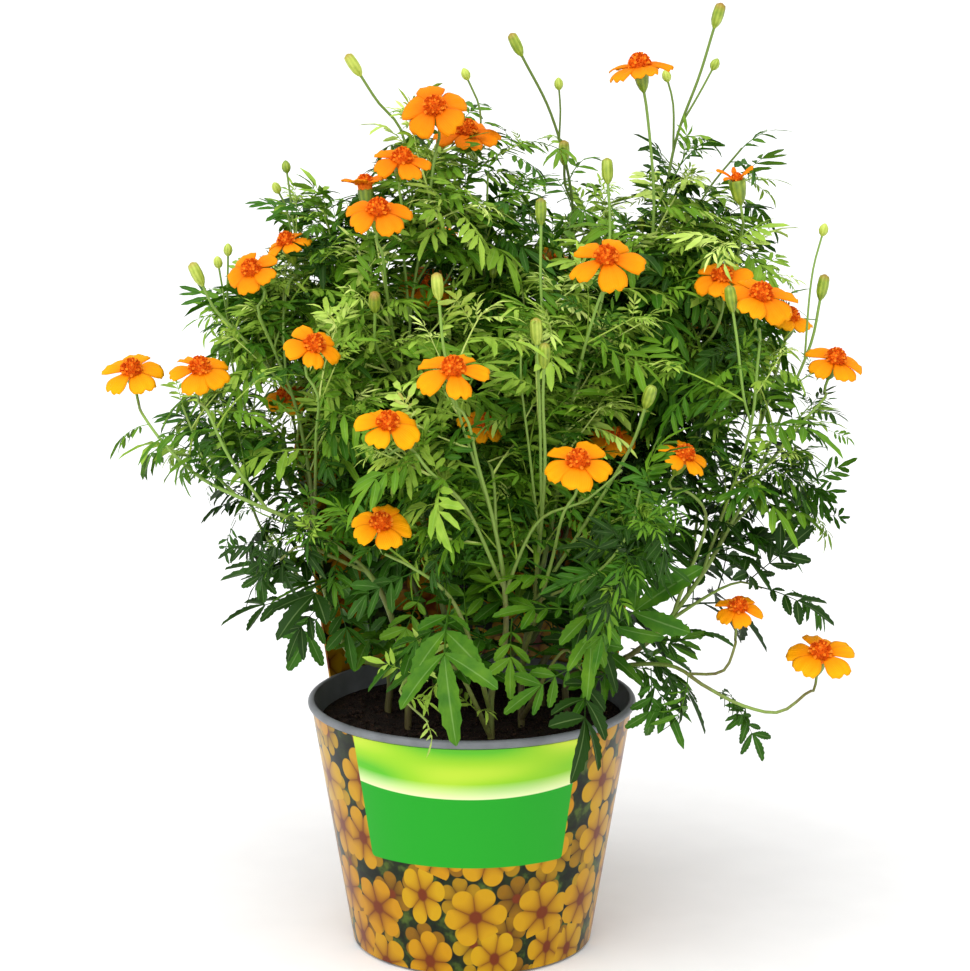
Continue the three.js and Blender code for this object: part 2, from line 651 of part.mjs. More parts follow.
// Five petals in one thin blade with the flat hub that they grow from, facing +Z.
// cup: how steeply the petals of a half-open flower stand, in degrees.
function corollaGeometry({ reach, cup = 0 }) {
  const sector = 360 / BLOOM.petals;
  const halfWidth = (reach * BLOOM.petalWidth) / 2;
  const points = [];
  const faces = [];
  for (let petal = 0; petal < BLOOM.petals; petal++) {
    points.push(around(BLOOM.hub, (petal - 0.5) * sector, 0));
  }
  for (let i = 1; i + 1 < BLOOM.petals; i++) faces.push([0, i, i + 1]);
  for (let petal = 0; petal < BLOOM.petals; petal++) {
    const middle = petal * sector;
    const left = points.length;
    for (const [share, side, rise] of PETAL_OUTLINE) {
      const out = reach * share - BLOOM.hub;
      const height = out * Math.sin(degrees(cup)) + reach * rise;
      const point = around(BLOOM.hub + out * Math.cos(degrees(cup)), middle, height);
      point.addScaledVector(around(1, middle + 90, 0), side * halfWidth * Math.cos(degrees(cup / 2)));
      points.push(point);
    }
    const [from, to] = [petal, (petal + 1) % BLOOM.petals];
    faces.push([from, left, left + 1], [from, left + 1, left + 2], [from, left + 2, to]);
    faces.push([to, left + 2, left + 3]);
  }
  return blade(points, faces, BLOOM.thickness);
}

// The disc of florets from its flat foot up: [radius, relief, height] of each ring, with radius
// and relief as shares of the disc's radius and height as a share of its own.
const DISC_OUTLINE = [
  [0.98, 0.1, 0.38],
  [0.5, -0.12, 0.9],
];

// A knobbly dome, whose corners stand out and in by turns.
function discGeometry(footShare, foot) {
  const ring = (radius, relief, z) => {
    const points = [];
    for (let i = 0; i < BLOOM.discSides; i++) {
      const out = i % 2 ? -relief : relief;
      const angle = (360 * i) / BLOOM.discSides;
      points.push(around(BLOOM.discRadius * (radius + out), angle, z + out * BLOOM.discRadius));
    }
    return points;
  };
  const rings = DISC_OUTLINE.map(([radius, relief, z]) => ring(radius, relief, z * BLOOM.discHeight));
  return lofted([ring(footShare, 0, foot), ...rings]);
}

function bloomMeshes(bloom) {
  const matrix = standing(bloomAxis(bloom), bloom.turn, surveyed(bloom.at));
  const petals = corollaGeometry(bloom);
  if (bloom.whole) {
    const disc = discGeometry(WHOLE_DISC_FOOT, -BLOOM.thickness / 2);
    const whole = fused([solidOf(petals), solidOf(disc)]);
    return [meshOf(bloom.name, whole, MATERIALS.petals, matrix)];
  }
  const disc = discGeometry(LOOSE_DISC_FOOT, GAP);
  return [
    meshOf(bloom.name + "_petals", petals, MATERIALS.petals, matrix),
    meshOf(bloom.name + "_disc", disc, MATERIALS.disc, matrix),
  ];
}

// ---------------------------------------------------------------- green parts

// Outlines from a shoot's end up the axis, as [radius, rise].
const CALYX_OUTLINE = [
  [0.86 * BLOOM.calyxRadius, 0.3 * BLOOM.calyxLength],
  [BLOOM.calyxRadius, BLOOM.calyxLength - BLOOM.thickness - GAP],
];
const BUD_OUTLINES = {
  bud: [[2.3, 4], [1.9, 8], [0.3, 10]],
  "small bud": [[1.7, 1.9], [0.3, 4.6]],
  leaf: [],
};

// A pinnate leaf as one thin arched blade, cut to the rib. It grows from the origin along +X,
// with its upper side to +Z. Returns the blade's points, faces and sharp points, and a line down
// each leaflet.
function leafOutline(kind, size) {
  const long = kind.length * size;
  const leaflet = kind.leaflet * size;
  const halfWidth = (kind.width * size) / 2;
  const ribEnd = long - LEAF.endLeaflet * leaflet;
  const height = (x) => LEAF.thickness / 2 - LEAF.arch * long * (x / long) ** 2;
  const stations = [];
  const seats = [];
  for (let pair = 0; pair < kind.pairs; pair++) {
    const pitch = (ribEnd * (1 - kind.stalk)) / kind.pairs;
    const from = ribEnd * kind.stalk + pair * pitch;
    if (pair === 0 || kind.seat < 1) stations.push(from);
    stations.push(from + pitch * (pair + 1 === kind.pairs ? 1 : kind.seat));
    seats.push(stations.length - 2);
  }
  const points = [];
  const faces = [];
  const lines = [];
  stations.forEach((x, k) => {
    points.push(vector(x, -LEAF.rib, height(x)), vector(x, LEAF.rib, height(x)));
    if (k > 0) faces.push([2 * k - 2, 2 * k, 2 * k + 1], [2 * k - 2, 2 * k + 1, 2 * k - 1]);
  });
  const root = points.length;
  points.push(vector(0, 0, 0));
  faces.push([root, 0, 1]);
  const sharp = [root];
  const addLeaflet = (from, to, direction, reach) => {
    const base = points[from].clone().lerp(points[to], 0.5);
    const tip = base.clone().addScaledVector(direction, reach);
    tip.z = height(Math.min(long, tip.x)) - LEAF.leafletDroop * reach;
    lines.push([base, tip, 0.7 * halfWidth]);
    const first = points.length;
    points.push(tip);
    sharp.push(first);
    if (!kind.rounded) {
      faces.push([from, to, first]);
      return;
    }
    const aside = vector(-direction.y, direction.x, 0).multiplyScalar(halfWidth);
    const middle = base.clone().lerp(tip, LEAF.widestAt);
    middle.z += LEAF.leafletBelly * reach;
    points.push(middle.clone().sub(aside), middle.clone().add(aside));
    faces.push([from, to, first + 1], [from, first + 1, first + 2], [first + 1, first, first + 2]);
  };
  const spread = degrees(LEAF.spread);
  for (const seat of seats) {
    const right = 2 * seat;
    addLeaflet(right + 1, right + 3, vector(Math.cos(spread), Math.sin(spread), 0), leaflet);
    addLeaflet(right + 2, right, vector(Math.cos(spread), -Math.sin(spread), 0), leaflet);
  }
  const end = 2 * (stations.length - 1);
  addLeaflet(end + 1, end, vector(1, 0, 0), leaflet);
  lines.push([points[root], points[end], LEAF.rib]);
  return { points, faces, sharp, lines };
}

// The frame of a leaf on a stem: X along the leaf, Z out of its upper side.
function leafFrame(place, direction, tangent) {
  const up = tangent.clone().add(vector(0, 0, 1));
  up.addScaledVector(direction, -up.dot(direction)).normalize();
  const aside = up.clone().cross(direction);
  return new THREE.Matrix4().makeBasis(direction, aside, up).setPosition(place);
}

function leafKind({ leaves }, z) {
  if (leaves) return LEAF_KINDS[leaves];
  if (z < BROAD_BELOW) return LEAF_KINDS.broad;
  return z < YOUNG_ABOVE ? LEAF_KINDS.fine : LEAF_KINDS.young;
}

// Every leaf of a shoot: where it grows, which way, and its kind and size.
function leavesOf(shoot, curve, draws) {
  const length = curve.getLength();
  const foot = shoot.from ? LEAF.bareFoot : LEAF.bareFoot + 2 * SOIL.holeDepth;
  const top = length - (shoot.tip === "leaf" ? 3 : LEAF.bareStalk);
  const leaves = [];
  for (let k = 0; foot + k * LEAF.step < top; k++) {
    const share = (foot + k * LEAF.step) / length;
    const place = middleAt(curve, share);
    const tangent = curve.getTangentAt(share);
    const azimuth = k * LEAF.turn + LEAF.turnDraw * draws();
    const opening = degrees(LEAF.opening + LEAF.openingDraw * (draws() - 0.5));
    const size = LEAF.smallest + LEAF.sizeDraw * draws();
    leaves.push({ k, place, tangent, azimuth, opening, size, kind: leafKind(shoot, place.z) });
  }
  if (shoot.tip === "leaf") {
    const place = middleAt(curve, 1 - 2 / length);
    const kind = leafKind(shoot, place.z);
    leaves.push({ k: 0, place, tangent: curve.getTangentAt(1), azimuth: 0, opening: 0.15, size: 1, kind });
  }
  return leaves;
}

function leafDirection({ tangent, opening }, azimuth) {
  const side = tangent.clone().cross(vector(0, 0, 1)).normalize();
  const over = side.clone().cross(tangent);
  const out = side.multiplyScalar(Math.cos(degrees(azimuth)));
  out.addScaledVector(over, Math.sin(degrees(azimuth)));
  return tangent.clone().multiplyScalar(Math.cos(opening)).addScaledVector(out, Math.sin(opening));
}

// ---------------------------------------------------------------- keeping clear

// Balls along a line stand for a piece when another one is tested against it.
function ballsAlong(from, to, radius, stem) {
  const count = Math.max(1, Math.ceil(from.distanceTo(to) / CLEARANCE.step));
  const balls = [];
  for (let i = 0; i <= count; i++) {
    balls.push({ centre: from.clone().lerp(to, i / count), radius, stem });
  }
  return balls;
}

function bloomBalls(bloom) {
  const matrix = standing(bloomAxis(bloom), bloom.turn, surveyed(bloom.at));
  const balls = [{ centre: vector(0, 0, BLOOM.discHeight / 2), radius: BLOOM.discRadius }];
  const radius = CLEARANCE.petalBall * bloom.reach;
  for (let i = 0; i < CLEARANCE.petalBallCount; i++) {
    for (const share of [2 * CLEARANCE.petalBall, 1 - CLEARANCE.petalBall]) {
      const centre = around(bloom.reach * share, (360 * i) / CLEARANCE.petalBallCount, 0);
      balls.push({ centre, radius });
    }
  }
  balls.forEach((ball) => ball.centre.applyMatrix4(matrix));
  return balls;
}

function clearOfPot({ centre, radius }) {
  const spare = radius + CLEARANCE.potSpare;
  const out = Math.hypot(centre.x, centre.y);
  const angle = THREE.MathUtils.radToDeg(Math.atan2(centre.x, -centre.y));
  if (centre.z < POT.height + spare) {
    const within = out + spare < potRadius(centre.z) - POT.wall;
    const above = centre.z > SOIL.top + SOIL.relief + spare;
    return (within && above) || out - spare > POT.rimRadius + SLEEVE.panelStep;
  }
  const behind = Math.abs(angle) > 180 - SLEEVE.panelEdge - CLEARANCE.panelSpare;
  if (!behind || centre.z > SLEEVE.panelTop + spare) return true;
  return Math.abs(out - sleeveRadius(180, centre.z)) > spare + SLEEVE.thickness;
}

// A leaf that grows at a place is clear of the pot, the flowers and every stem and leaf. Close
// to that place it may meet its own stem.
function clearOfAll(balls, others, place) {
  if (!balls.every(clearOfPot)) return false;
  return balls.every((ball) => {
    const joined = ball.centre.distanceTo(place) < LEAF.joined;
    return others.every((other) => {
      if (joined && other.stem === ball.stem) return true;
      return ball.centre.distanceTo(other.centre) > ball.radius + other.radius + 2 * GAP;
    });
  });
}

// ---------------------------------------------------------------- leafy stems

function shootSteps(curve) {
  return Math.max(2, Math.round(curve.getLength() / STEM.stepLength));
}

// The middle of the built shoot, whose steps are straight, at a share of its curve's length.
function middleAt(curve, share) {
  const steps = shootSteps(curve);
  const step = Math.min(steps - 1, Math.floor(share * steps));
  const from = curve.getPointAt(step / steps);
  return from.lerp(curve.getPointAt((step + 1) / steps), share * steps - step);
}

// The curve of each shoot of a stem, from its root or its parent shoot to its tip.
function shootCurves({ root, shoots }) {
  const curves = [];
  for (const { from, path, tip } of shoots) {
    const points = path.map(surveyed);
    if (from) {
      points.unshift(middleAt(curves[from[0]], from[1]));
    } else {
      const heights = [SOIL.top - SOIL.holeDepth + 1, SOIL.top, SOIL.top + STEM.uprightFoot];
      points.unshift(...heights.map((z) => vector(root[0], root[1], z)));
    }
    const bloom = BLOOMS.find(({ name }) => name === tip);
    if (bloom) {
      const axis = bloomAxis(bloom);
      const centre = surveyed(bloom.at);
      points.push(centre.clone().addScaledVector(axis, -BLOOM.stalkEnd));
      points.push(centre.clone().addScaledVector(axis, -BLOOM.calyxLength));
    }
    curves.push(new THREE.CatmullRomCurve3(points));
  }
  return curves;
}

// The stems' own solids, with the calyx or bud at each tip.
function woodOf({ name, shoots }, curves) {
  const solids = [];
  const balls = [];
  shoots.forEach(({ from, tip, radius }, i) => {
    const curve = curves[i];
    const steps = shootSteps(curve);
    const start = radius ?? (shoots[from[0]].radius ?? STEM.branchRadius) * STEM.branchShare;
    const bloom = BLOOMS.find((entry) => entry.name === tip);
    const axis = bloom ? bloomAxis(bloom) : curve.getTangentAt(1);
    const outline = bloom ? CALYX_OUTLINE : BUD_OUTLINES[tip];
    const sides = tip === "leaf" ? STEM.leafShootSides : STEM.sides;
    const rings = shootRings(curve, start, STEM.tipRadius, sides, steps, axis, outline);
    solids.push(solidOf(lofted(rings)));
    const points = curve.getSpacedPoints(steps);
    for (let step = 0; step < steps; step++) {
      balls.push(...ballsAlong(points[step], points[step + 1], start, name));
    }
    const end = curve.getPointAt(1);
    const [widest, last] = [outline[0], outline.at(-1)];
    if (widest) balls.push(...ballsAlong(end, end.clone().addScaledVector(axis, last[1]), widest[0], name));
  });
  return { solids, balls };
}

function hangsTooLow({ centre, radius }, low) {
  const inside = Math.hypot(centre.x, centre.y) < POT.rimRadius;
  const front = !low && centre.y < -LEAF.frontStarts;
  const lowest = front ? LEAF.lowestInFront : LEAF.lowest;
  return (front || !inside) && centre.z - radius < lowest;
}

// A leaf's solid where it is clear of everything else, turned round its stem if need be.
function clearLeaf(leaf, shoot, owner, others) {
  const { points, faces, sharp, lines } = leafOutline(leaf.kind, leaf.size);
  for (const bend of BENDS) {
    const direction = leafDirection(leaf, leaf.azimuth + bend);
    const frame = leafFrame(leaf.place, direction, leaf.tangent);
    const balls = lines.flatMap(([from, to, radius]) =>
      ballsAlong(from.clone().applyMatrix4(frame), to.clone().applyMatrix4(frame), radius, owner),
    );
    if (balls.some((ball) => hangsTooLow(ball, shoot.low))) continue;
    if (!clearOfAll(balls, others, leaf.place)) continue;
    others.push(...balls);
    return solidOf(blade(points, faces, LEAF.thickness, sharp).applyMatrix4(frame));
  }
  return null;
}

function leafyStemMeshes() {
  const taken = BLOOMS.flatMap(bloomBalls);
  const stems = LEAFY_STEMS.map((stem) => {
    const curves = shootCurves(stem);
    const { solids, balls } = woodOf(stem, curves);
    taken.push(...balls);
    return { ...stem, curves, solids };
  });
  const draws = seededDraws(STEM.seed);
  return stems.map(({ name, shoots, curves, solids }) => {
    shoots.forEach((shoot, i) => {
      for (const leaf of leavesOf(shoot, curves[i], draws)) {
        if (leaf.k % LEAF.builtEvery) continue;
        const solid = clearLeaf(leaf, shoot, name, taken);
        if (solid) solids.push(solid);
      }
    });
    return meshOf(name, fused(solids), MATERIALS.leaves);
  });
}

// ---------------------------------------------------------------- the whole plant in its pot

function meshOf(name, geometry, material, matrix) {
  geometry.computeVertexNormals();
  const mesh = new THREE.Mesh(geometry, material);
  mesh.name = name;
  if (matrix) mesh.applyMatrix4(matrix);
  return mesh;
}

const plant = new THREE.Group();
plant.add(meshOf("pot", potGeometry(), MATERIALS.pot));
plant.add(meshOf("sleeve", sleeveGeometry(), MATERIALS.sleeve));
plant.add(meshOf("soil", soilGeometry(), MATERIALS.soil));
plant.add(...leafyStemMeshes());
plant.add(...BLOOMS.flatMap(bloomMeshes));

export default plant;
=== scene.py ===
# %% [markdown]
# # A signet marigold in its nursery pot
#
# The real thing is a small bushy garden plant. Thin stems branch out of one pot of compost, and
# carry feathery leaves, green buds and single orange flowers. The pot wears a sleeve of printed
# film that rises behind the plant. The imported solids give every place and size. This script
# replaces them with finer pieces that keep their form, and gives each surface its finish.

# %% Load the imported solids
import math
import random
from contextlib import contextmanager
from functools import partial
from typing import NamedTuple

import bpy
import numpy as np
from mathutils import Matrix, Vector
from mathutils.kdtree import KDTree


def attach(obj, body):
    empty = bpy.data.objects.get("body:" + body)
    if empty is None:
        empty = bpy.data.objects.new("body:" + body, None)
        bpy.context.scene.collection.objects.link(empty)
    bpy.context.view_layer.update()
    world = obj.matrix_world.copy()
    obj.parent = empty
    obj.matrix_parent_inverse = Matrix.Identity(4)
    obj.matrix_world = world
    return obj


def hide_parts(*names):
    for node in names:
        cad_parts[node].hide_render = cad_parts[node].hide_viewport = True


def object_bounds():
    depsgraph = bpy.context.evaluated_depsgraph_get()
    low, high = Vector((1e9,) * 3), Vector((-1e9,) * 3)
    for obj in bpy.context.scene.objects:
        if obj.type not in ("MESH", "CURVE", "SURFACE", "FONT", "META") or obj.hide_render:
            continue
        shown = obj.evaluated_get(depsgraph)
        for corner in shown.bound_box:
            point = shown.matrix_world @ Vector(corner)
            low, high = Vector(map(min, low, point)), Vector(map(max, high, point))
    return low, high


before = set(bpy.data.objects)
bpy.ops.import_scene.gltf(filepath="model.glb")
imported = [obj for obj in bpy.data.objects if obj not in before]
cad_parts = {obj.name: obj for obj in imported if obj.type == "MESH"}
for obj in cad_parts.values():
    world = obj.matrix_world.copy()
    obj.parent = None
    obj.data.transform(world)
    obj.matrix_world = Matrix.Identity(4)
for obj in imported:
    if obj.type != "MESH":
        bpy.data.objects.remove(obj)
solid_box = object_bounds()
MM = 0.001  # every size below is in millimetres, and Blender works in metres

print(len(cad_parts), "solids, box", [tuple(round(x, 4) for x in corner) for corner in solid_box])

# %% [markdown]
# ## The camera
#
# The photo was taken from about a metre away, a little above the plant and looking slightly
# down. A long lens keeps the upright lines nearly parallel. The same numbers place each flower
# and stem further down, so the camera comes first.

# %% Camera
CAMERA = {"aside": 4.8, "distance": 976, "height": 366, "tilt": 11.34, "lens": 2759}  # lens in dots
PICTURE = {"width": 970, "height": 971}
SENSOR = 36

bpy.ops.object.camera_add(
    location=(CAMERA["aside"] * MM, -CAMERA["distance"] * MM, CAMERA["height"] * MM),
    rotation=(math.radians(90 - CAMERA["tilt"]), 0, 0),
)
camera = bpy.context.active_object
camera.name = "camera"
camera.data.sensor_fit = "HORIZONTAL"
camera.data.sensor_width = SENSOR
camera.data.lens = SENSOR * CAMERA["lens"] / PICTURE["width"]
bpy.context.scene.camera = camera
print("lens", round(camera.data.lens, 1), "mm")

# %% [markdown]
# ## Helpers for modelling
#
# Each shape below starts as a primitive and is shaped in edit mode. An operator acts on whatever
# is selected, so these helpers first deselect everything, and then select by a test on the place
# of each vertex or face. That makes each step repeatable without a mouse. A shape that repeats is
# modelled once, as a prototype. Its copies are stamped down, each with a mesh of its own, and
# joined into one piece.


# %% Modelling helpers
def pick(*pieces):
    """Leaves edit mode and selects only these pieces, with the first one active."""
    if bpy.context.mode != "OBJECT":
        bpy.ops.object.mode_set(mode="OBJECT")
    bpy.ops.object.select_all(action="DESELECT")
    for piece in pieces:
        piece.select_set(True)
    bpy.context.view_layer.objects.active = pieces[0]


@contextmanager
def editing(piece, kind="vertices", test=lambda element: True):
    """Edit mode on a piece, with those of its vertices or faces selected that pass a test."""
    pick(piece)
    mesh = piece.data
    for elements in (mesh.vertices, mesh.edges, mesh.polygons):
        elements.foreach_set("select", [False] * len(elements))
    for element in getattr(mesh, kind):
        element.select = test(element)
    faces = kind == "polygons"
    bpy.context.tool_settings.mesh_select_mode = (not faces, False, faces)
    bpy.ops.object.mode_set(mode="EDIT")
    yield
    bpy.ops.object.mode_set(mode="OBJECT")


def faces_up(face):
    """A test for the flat top of a shape."""
    return face.normal.z > 0.9


def scale_part(piece, test, scale):
    """Scales the vertices that pass a test, on their place in millimetres, about the origin."""
    with editing(piece, test=lambda vertex: test(vertex.co / MM)):
        bpy.ops.transform.resize(value=scale, center_override=(0, 0, 0))


def apply_modifier(piece, kind, **settings):
    """Adds a modifier to a piece and applies it."""
    pick(piece)
    modifier = piece.modifiers.new(kind.lower(), kind)
    for name, value in settings.items():
        setattr(modifier, name, value)
    bpy.ops.object.modifier_apply(modifier=modifier.name)


def joined(name, pieces):
    """One piece of several. The finished object sits at the origin, unturned and unscaled."""
    pick(*pieces)
    bpy.ops.object.join()
    whole = bpy.context.active_object
    bpy.ops.object.transform_apply(location=True, rotation=True, scale=True)
    whole.name = whole.data.name = name
    return whole


def started(name, add, **settings):
    """A new primitive under a name, with its place and size in its mesh."""
    add(**settings)
    return joined(name, [bpy.context.active_object])


def cylinder(name, sides, radius, bottom, top, across=0, behind=0):
    """An upright closed cylinder between two heights, in millimetres."""
    return started(
        name,
        bpy.ops.mesh.primitive_cylinder_add,
        vertices=sides,
        radius=radius * MM,
        depth=(top - bottom) * MM,
        location=(across * MM, behind * MM, (top + bottom) / 2 * MM),
    )


def grid(name, columns, rows):
    """A flat square grid, which a formula then shapes."""
    add = bpy.ops.mesh.primitive_grid_add
    return started(name, add, x_subdivisions=columns, y_subdivisions=rows, size=1)


def extrude_rings(piece, rings):
    """Extrudes a piece's flat top through rings, each a radius and a height in millimetres."""
    with editing(piece, "polygons", faces_up):
        for (radius, z), (new_radius, new_z) in zip(rings, rings[1:]):
            bpy.ops.mesh.extrude_region_move(TRANSFORM_OT_translate={"value": (0, 0, (new_z - z) * MM)})
            ratio = new_radius / radius
            bpy.ops.transform.resize(value=(ratio, ratio, 1), center_override=(0, 0, 0))


def stamp(prototype, matrix):
    """A copy of a prototype with a mesh of its own, set down by a matrix in millimetres."""
    copy = prototype.copy()
    copy.data = prototype.data.copy()
    to_metres = Matrix.Diagonal((MM, MM, MM, 1))
    copy.data.transform(to_metres @ matrix @ to_metres.inverted())
    bpy.context.collection.objects.link(copy)
    return copy


def discard(*prototypes):
    """Deletes prototypes that have been copied."""
    for prototype in prototypes:
        bpy.data.objects.remove(prototype)


def smooth(piece, angle=40):
    """Shades a piece smooth, except across edges sharper than an angle in degrees."""
    pick(piece)
    bpy.ops.object.shade_smooth_by_angle(angle=math.radians(angle))


def dress(piece, material):
    """Gives a finished piece its material and its body."""
    piece.data.materials.clear()
    piece.data.materials.append(material)
    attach(piece, "root")
    return piece


print("helpers ready")

# %% [markdown]
# ## Helpers for materials
#
# A material is a small network of nodes. The Principled shader stays in the material, and each
# number that is the same all over the surface is set on the shader's own socket. An effect that
# several materials use is a node group, built once: here a soft mottle, which no living or
# moulded surface is without.


# %% Material helpers
def linear(code):
    """The linear colour of a hexadecimal one."""
    channels = [int(code[i : i + 2], 16) / 255 for i in (1, 3, 5)]
    return (*[c / 12.92 if c < 0.04045 else ((c + 0.055) / 1.055) ** 2.4 for c in channels], 1)


def new_material(name, **constants):
    """A material with a Principled shader whose sockets have these constant values."""
    material = bpy.data.materials.new(name)
    material.use_nodes = True
    shader = material.node_tree.nodes["Principled BSDF"]
    for socket, value in constants.items():
        shader.inputs[socket.replace("_", " ")].default_value = value
    return material, material.node_tree, shader


def new_group(name, inputs, outputs):
    """An empty shader node group with named sockets, each given as name: (kind, default)."""
    group = bpy.data.node_groups.new(name, "ShaderNodeTree")
    for socket, (kind, default) in inputs.items():
        made = group.interface.new_socket(socket, in_out="INPUT", socket_type="NodeSocket" + kind)
        if default is not None:
            made.default_value = default
    for socket, kind in outputs.items():
        group.interface.new_socket(socket, in_out="OUTPUT", socket_type="NodeSocket" + kind)
    return group, group.nodes.new("NodeGroupInput").outputs, group.nodes.new("NodeGroupOutput").inputs


def node(tree, kind, values, **settings):
    """A node of a kind. A value that is a socket is linked to the input, any other is set."""
    made = tree.nodes.new("ShaderNode" + kind)
    for name, value in settings.items():
        setattr(made, name, value)
    for socket, value in values.items():
        if isinstance(value, bpy.types.NodeSocket):
            tree.links.new(value, made.inputs[socket])
        else:
            made.inputs[socket].default_value = value
    return made


def calculated(tree, operation, *values, clamp=False):
    """The output of a Math node on up to three values."""
    return node(tree, "Math", dict(enumerate(values)), operation=operation, use_clamp=clamp).outputs[0]


def mixed(tree, factor, first, second, blend="MIX"):
    """The colour between two colours."""
    made = node(tree, "Mix", {0: factor, 6: first, 7: second}, data_type="RGBA", blend_type=blend)
    return made.outputs[2]


def graded(tree, factor, *stops):
    """A colour ramp through stops, each a place and a hexadecimal colour."""
    ramp = node(tree, "ValToRGB", {0: factor})
    for _ in stops[2:]:
        ramp.color_ramp.elements.new(0.5)
    for element, (place, code) in zip(ramp.color_ramp.elements, stops):
        element.position = place
        element.color = linear(code)
    return ramp.outputs[0]


def placed_group(tree, group, values):
    """A node group in a material, with its own values. Gives its outputs."""
    return node(tree, "Group", values, node_tree=group).outputs


def swayed(tree, value, noise, amount):
    """A value that a noise between 0 and 1 moves up and down by half an amount."""
    return calculated(tree, "MULTIPLY_ADD", calculated(tree, "SUBTRACT", noise, 0.5), amount, value)


def length_of(tree, x, y):
    """The length of a flat arrow from its two sides."""
    square = calculated(tree, "MULTIPLY", y, y)
    return calculated(tree, "SQRT", calculated(tree, "MULTIPLY_ADD", x, x, square))


def feed(tree, shader, value, socket="Base Color"):
    """Links a colour or value that changes over the surface to a socket of the shader."""
    tree.links.new(value, shader.inputs[socket])


def bump(tree, shader, height, strength, distance):
    """Feeds a height to the shader's normal."""
    made = node(tree, "Bump", {"Height": height, "Strength": strength, "Distance": distance * MM})
    feed(tree, shader, made.outputs[0], "Normal")


mottle, given, out = new_group("mottle", {"Size": ("Float", 5)}, {"Value": "Float"})
mottle_place = node(mottle, "TexCoord", {}).outputs["Object"]
per_metre = calculated(mottle, "DIVIDE", 1 / MM, given["Size"])
mottle_noise = node(mottle, "TexNoise", {"Vector": mottle_place, "Scale": per_metre, "Detail": 4})
mottle.links.new(mottle_noise.outputs["Fac"], out["Value"])


def mottled(tree, size):
    """The mottle in a material, with patches of a size in millimetres."""
    return placed_group(tree, mottle, {"Size": size})["Value"]


print("material helpers ready, with the group", mottle.name)

# %% [markdown]
# ## The pot
#
# A nursery pot is moulded in thin dark grey plastic: a tapered wall, a flat floor with drain
# holes, and a rolled bead that stiffens the rim. A lathe would do, but the same shape comes from
# one short cylinder whose top face is extruded from ring to ring, up the outside, over the bead,
# and down the inside to the floor. The drain holes are cut with a Boolean.

# %% Pot
POT = {"height": 92, "rim": 60, "bead": 3, "base": 43, "neck": 57.6, "wall": 1.2, "floor": 2, "corner": 1.4}
POT_SIDES = 128
DRAINS = {"count": 6, "radius": 3.5, "circle": 29, "sides": 24}
GAP = 0.3  # the room between pieces that touch, as in the solids
NECK = POT["height"] - POT["bead"]
BEAD_UNDERSIDE = 1.1  # how far in from the rim the bead's section starts
LIP = 0.4  # how far the inner wall's top stands above the neck


def pot_radius(z):
    """Outside radius of the pot's wall."""
    return POT["base"] + (POT["neck"] - POT["base"]) * z / NECK


def bead_ring(degrees, radius=POT["bead"] / 2):
    """A ring of the bead's round section, by the angle from straight outwards."""
    turn = math.radians(degrees)
    middle = POT["height"] - radius
    return POT["rim"] - radius + radius * math.cos(turn), middle + radius * math.sin(turn)


foot_radius = POT["base"] - POT["corner"]
pot_rings = [
    (pot_radius(POT["corner"]), POT["corner"]),
    (POT["neck"], NECK),
    (POT["rim"] - BEAD_UNDERSIDE, NECK),
    *[bead_ring(degrees) for degrees in range(-60, 121, 20)],
    (pot_radius(NECK) - POT["wall"], NECK + LIP),
    (pot_radius(POT["floor"]) - POT["wall"], POT["floor"]),
]
pot = cylinder("pot_shell", POT_SIDES, foot_radius, 0, POT["corner"])
widen = pot_rings[0][0] / foot_radius
scale_part(pot, lambda at: at.z > POT["corner"] / 2, (widen, widen, 1))
extrude_rings(pot, pot_rings)

drill_bits = []
for i in range(DRAINS["count"]):
    turn = 2 * math.pi * i / DRAINS["count"]
    across, behind = DRAINS["circle"] * math.sin(turn), -DRAINS["circle"] * math.cos(turn)
    deep = 2 * POT["floor"]
    drill_bits.append(cylinder("drill_bit", DRAINS["sides"], DRAINS["radius"], -deep, deep, across, behind))
drill = joined("drill", drill_bits)
apply_modifier(pot, "BOOLEAN", object=drill, operation="DIFFERENCE", solver="EXACT")
discard(drill)
smooth(pot)
print("pot:", len(pot.data.polygons), "faces")

# %% [markdown]
# Moulded plastic is never one flat grey. It has a faint mottle in its gloss from the tool's
# surface, and dust that dulls it.

# %% Pot plastic
plastic, tree, shader = new_material("dark_grey_plastic", Specular_IOR_Level=0.45)
cloud = mottled(tree, 9)
grain = mottled(tree, 0.6)
feed(tree, shader, graded(tree, cloud, (0.3, "#66696d"), (0.7, "#7c8084")))
feed(tree, shader, calculated(tree, "MULTIPLY_ADD", cloud, 0.2, 0.34), "Roughness")
bump(tree, shader, grain, 0.15, 0.1)
dress(pot, plastic)
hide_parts("pot")

# %% [markdown]
# ## The printed sleeve
#
# The sleeve is one sheet of film that is cut flat, printed and rolled round the pot. It is made
# that way here: a flat grid, with its top cut away except where the panel stands behind the
# plant, is rolled up by a formula. Its UV map is the flat sheet, so that the print follows the
# film. The panel steps outwards to pass the bead.

# %% Sleeve
SLEEVE = {"thickness": 0.7, "bottom": 1, "top": 191, "shoulder": 176, "edge": 62, "arch": 4}
STEP = {"out": 2.5, "foot": 21, "head": 3, "span": (1, 8)}
SHOULDER_SPAN = 8
SLEEVE_TOP = NECK - GAP
SHEET_COLUMNS = 240
SHEET_ROWS = 19  # from the bottom to the bead
PANEL_ROWS = 18  # from the bead to the panel's top
SHEET_HEIGHT = 200  # that the whole height of its UV map stands for


def smoothstep(x, low, high):
    """Rises smoothly from 0 at low to 1 at high."""
    share = min(1, max(0, (x - low) / (high - low)))
    return share * share * (3 - 2 * share)


def past_edge(angle):
    """How far an angle, counted from the front, lies inside the panel's edge."""
    return SLEEVE["edge"] - (180 - abs(angle))


